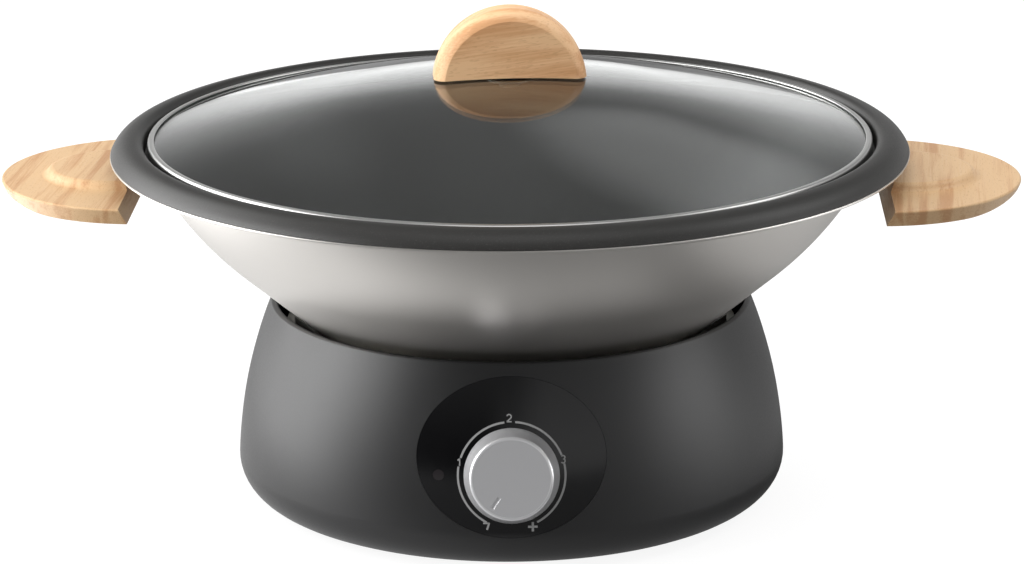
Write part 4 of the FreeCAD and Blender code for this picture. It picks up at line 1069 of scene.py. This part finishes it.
# The strokes of each figure, from its middle.
FIGURES = (
    (line((0.1, -1.6), (0.1, 1.6), 8), line((0.1, 1.5), (-0.8, 0.8), 5)),
    (np.vstack((arc((0.0, 0.6), 0.95, 165, -38, 14),
                line((0.55, -0.2), (-0.95, -1.5), 8))),
     line((-1.05, -1.55), (1.1, -1.55), 6)),
    (arc((0.0, 0.78), 0.78, 150, -90, 14), arc((0.0, -0.78), 0.86, 90, -150, 14)),
)
# The strokes of the marks for less and more heat, each with its width.
LESS_HEAT = ((line((-1.5, 1.0), (1.3, 1.0), 6), 0.7),
             (line((1.2, 1.2), (0.2, -1.9), 8), 0.8))
MORE_HEAT = ((line((-2.1, 0.0), (2.1, 0.0), 8), 1.0),
             (line((0.0, -2.1), (0.0, 2.1), 8), 1.0))


@dataclass
class ControlFace:
    """The silver cap of the dial and the scale printed round it on the curved panel.

    A point has a place across, up and off the face, from where the dial's axis, which
    leans back, meets the housing.
    """

    axis_y: float = -122.5546
    axis_z: float = 45.6
    lean_deg: float = 11.5
    panel_arc_r: float = 215.0      # the housing's side, with its centre below
    panel_arc: Pair = (-89.4717, 9.96497)
    panel_inset: float = 0.1        # panel's face inside the housing's
    newton_steps: int = 8
    ink_t: float = 0.05
    ring_w: float = 0.9
    ring_r: float = 23.2
    runs_deg: tuple[Pair, ...] = ((97.5, 160.9), (170.5, 242.0), (86.0, 21.9),
                                  (12.3, -62.0))
    figure_w: float = 0.55
    figure_deg: Triple = (165.7, 92.3, 17.1)
    figure_r: Triple = (23.2, 24.9, 23.2)
    less_at: Pair = (-11.0, -21.9)
    more_at: Pair = (9.0, -22.5)
    cap_steps: int = 384            # fine enough for the notch
    cap_gap: float = 0.6
    cap_base_r: float = 20.7
    cap_top_r: float = 18.2
    cap_top: float = 11.6
    cap_round: float = 1.5
    cap_wall: float = 0.8
    highlight_band_proud: float = 0.03         # how far the band with the painted highlight stands off the cap
    highlight_band_depth: float = 0.2          # and reaches into it
    notch_deg: float = 33.5         # turn of the pointer from straight down
    notch: Pair = (9.5, 15.5)
    notch_w: float = 1.6
    notch_bank: float = 0.35        # width of its sloping sides
    notch_ramp: float = 0.5         # length of its sloping ends
    notch_depth: float = 0.45

    def place(self, across: np.ndarray, up: np.ndarray, off: np.ndarray) -> np.ndarray:
        """Points of space: the origin plus each measure times its own unit vector."""
        lean = math.radians(self.lean_deg)
        return np.stack((across + 0 * off,
                         self.axis_y + up * math.sin(lean) - off * math.cos(lean),
                         self.axis_z + up * math.cos(lean) + off * math.sin(lean)),
                        axis=-1)

    def on_panel(self, flat: np.ndarray, rise: float) -> np.ndarray:
        """Points a rise above the panel, which is a surface of revolution about Z.

        Newton steps along the dial's axis close the difference between a point's radius
        and the panel's at its height: the arc's centre plus the root of the arc's
        radius squared less the height squared.

        Args:
            flat: Places across and up, one row each.
            rise: Height above the panel.

        Returns:
            One row of three numbers for each point.
        """
        lean = math.radians(self.lean_deg)
        off = np.zeros(len(flat))
        for _ in range(self.newton_steps):
            x, y, z = self.place(flat[:, 0], flat[:, 1], off).T
            height = z - self.panel_arc[1]
            root = np.sqrt(self.panel_arc_r ** 2 - height ** 2)
            radius = np.hypot(x, y)
            miss = radius - (self.panel_arc[0] + root - self.panel_inset + rise)
            off -= miss / (height / root * math.sin(lean) - y / radius * math.cos(lean))
        return self.place(flat[:, 0], flat[:, 1], off)

    def stroke(self, path: np.ndarray, width: float) -> Surface:
        """A slab of ink along a path: its edges lie half a width to either side.

        Args:
            path: Places across and up, one row each.
            width: Width of the stroke.

        Returns:
            The points and the faces of a closed strip.
        """
        ahead = np.gradient(path, axis=0)
        ahead /= np.hypot(ahead[:, 0], ahead[:, 1])[:, None]
        side = np.column_stack((-ahead[:, 1], ahead[:, 0])) * width / 2
        rails = [self.on_panel(path + sign * side, rise * self.ink_t)
                 for sign, rise in ((1, 1), (-1, 1), (-1, -1), (1, -1))]
        points = np.stack(rails, axis=1).reshape(-1, 3)
        last = len(points) - 4
        faces = grid_faces(len(path), 4, False, True).tolist()
        return points, faces + [[3, 2, 1, 0], [last, last + 1, last + 2, last + 3]]

    def strokes(self) -> list[tuple[np.ndarray, float]]:
        """Every path of the print with its width: the ring, figures and end marks."""
        runs = [(arc((0.0, 0.0), self.ring_r, start, end, 48), self.ring_w)
                for start, end in self.runs_deg]
        for figure, turn, radius in zip(FIGURES, self.figure_deg, self.figure_r):
            middle = arc((0.0, 0.0), radius, turn, turn, 1)[0]
            runs += [(path + middle, self.figure_w) for path in figure]
        for mark, middle in ((LESS_HEAT, self.less_at), (MORE_HEAT, self.more_at)):
            runs += [(path + np.array(middle), width) for path, width in mark]
        return runs

    def scale(self) -> None:
        """Print the scale as one piece of many closed strips."""
        points, faces, count = [], [], 0
        for path, width in self.strokes():
            strip, strip_faces = self.stroke(path, width)
            points.append(strip)
            faces += [[corner + count for corner in face] for face in strip_faces]
            count += len(strip)
        piece("dial_scale_print", np.vstack(points), faces, coated(PRINT), "base")

    def edge(self, out: float) -> np.ndarray:
        """Rounded edge and side of the cap, moved out by a distance, from the top."""
        middle = (self.cap_top_r - self.cap_round, self.cap_top - self.cap_round)
        lean = math.degrees(math.atan2(self.cap_base_r - self.cap_top_r,
                                       middle[1] - self.cap_gap))
        turn = arc(middle, self.cap_round + out, 90, lean, 12)
        foot = (self.cap_base_r + out, self.cap_gap)
        return np.vstack((turn, line(turn[-1], foot, 12)[1:]))

    def cap(self) -> None:
        """Turn the cap, press its pointer in, and turn a paler band over its edge and
        side, a painted highlight.

        The notch's depth goes with the product of three clipped ramps, from its sides
        and from each end.
        """
        outer, inner = self.edge(0.0), self.edge(-self.cap_wall)
        face = line((0.0, self.cap_top), (outer[0, 0], self.cap_top), 90)
        back = line(inner[0], (0.0, inner[0, 1]), 6)
        points, faces = turned(np.vstack((face[:-1], outer, inner[::-1][:-1], back)),
                               self.cap_steps)
        turn = math.radians(self.notch_deg)
        x, y, z = points.T
        along = -x * math.sin(turn) - y * math.cos(turn)
        beside = x * math.cos(turn) - y * math.sin(turn)
        start, end = self.notch
        ramps = ((self.notch_w / 2 - np.abs(beside)) / self.notch_bank,
                 (along - start) / self.notch_ramp, (end - along) / self.notch_ramp)
        mask = np.prod(np.clip(ramps, 0, 1), axis=0) * np.isclose(z, self.cap_top)
        cap = piece("dial_silver_cap", self.place(x, y, z - self.notch_depth * mask),
                    faces, coated(SILVER), "dial")
        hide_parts("knob_cap")
        # The paler band over the edge and side is a painted highlight.
        band = np.vstack((self.edge(self.highlight_band_proud), self.edge(-self.highlight_band_depth)[::-1]))
        points, faces = turned(band)
        piece("dial_edge_painted_highlight", self.place(*points.T), faces, coated(EDGE_PAINTED_HIGHLIGHT), "dial")

    def build(self) -> None:
        """Make the cap and the print."""
        self.cap()
        self.scale()


# -------- the frame's own solids


def dress_nodes(frame: dict) -> None:
    """Give every solid of the frame the finish of its slot.
    """
    for part in frame["record"]["subparts"]:
        finish = WOOD.get(part["node"]) or SLOT_FINISHES[part["material_slot"]]
        node = frame["nodes"][part["node"]]
        node.data.materials.clear()
        node.data.materials.append(coated(finish))
        LOG.info("%s: %s", part["node"], finish.name)


def main() -> None:
    """Build the scene."""
    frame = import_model()
    View().build()
    Stage().build()
    dress_nodes(frame)
    BowlSkins().build()
    GlassLid().build()
    ControlFace().build()


if __name__ == "__main__":
    logging.basicConfig(level=logging.INFO)
    main()
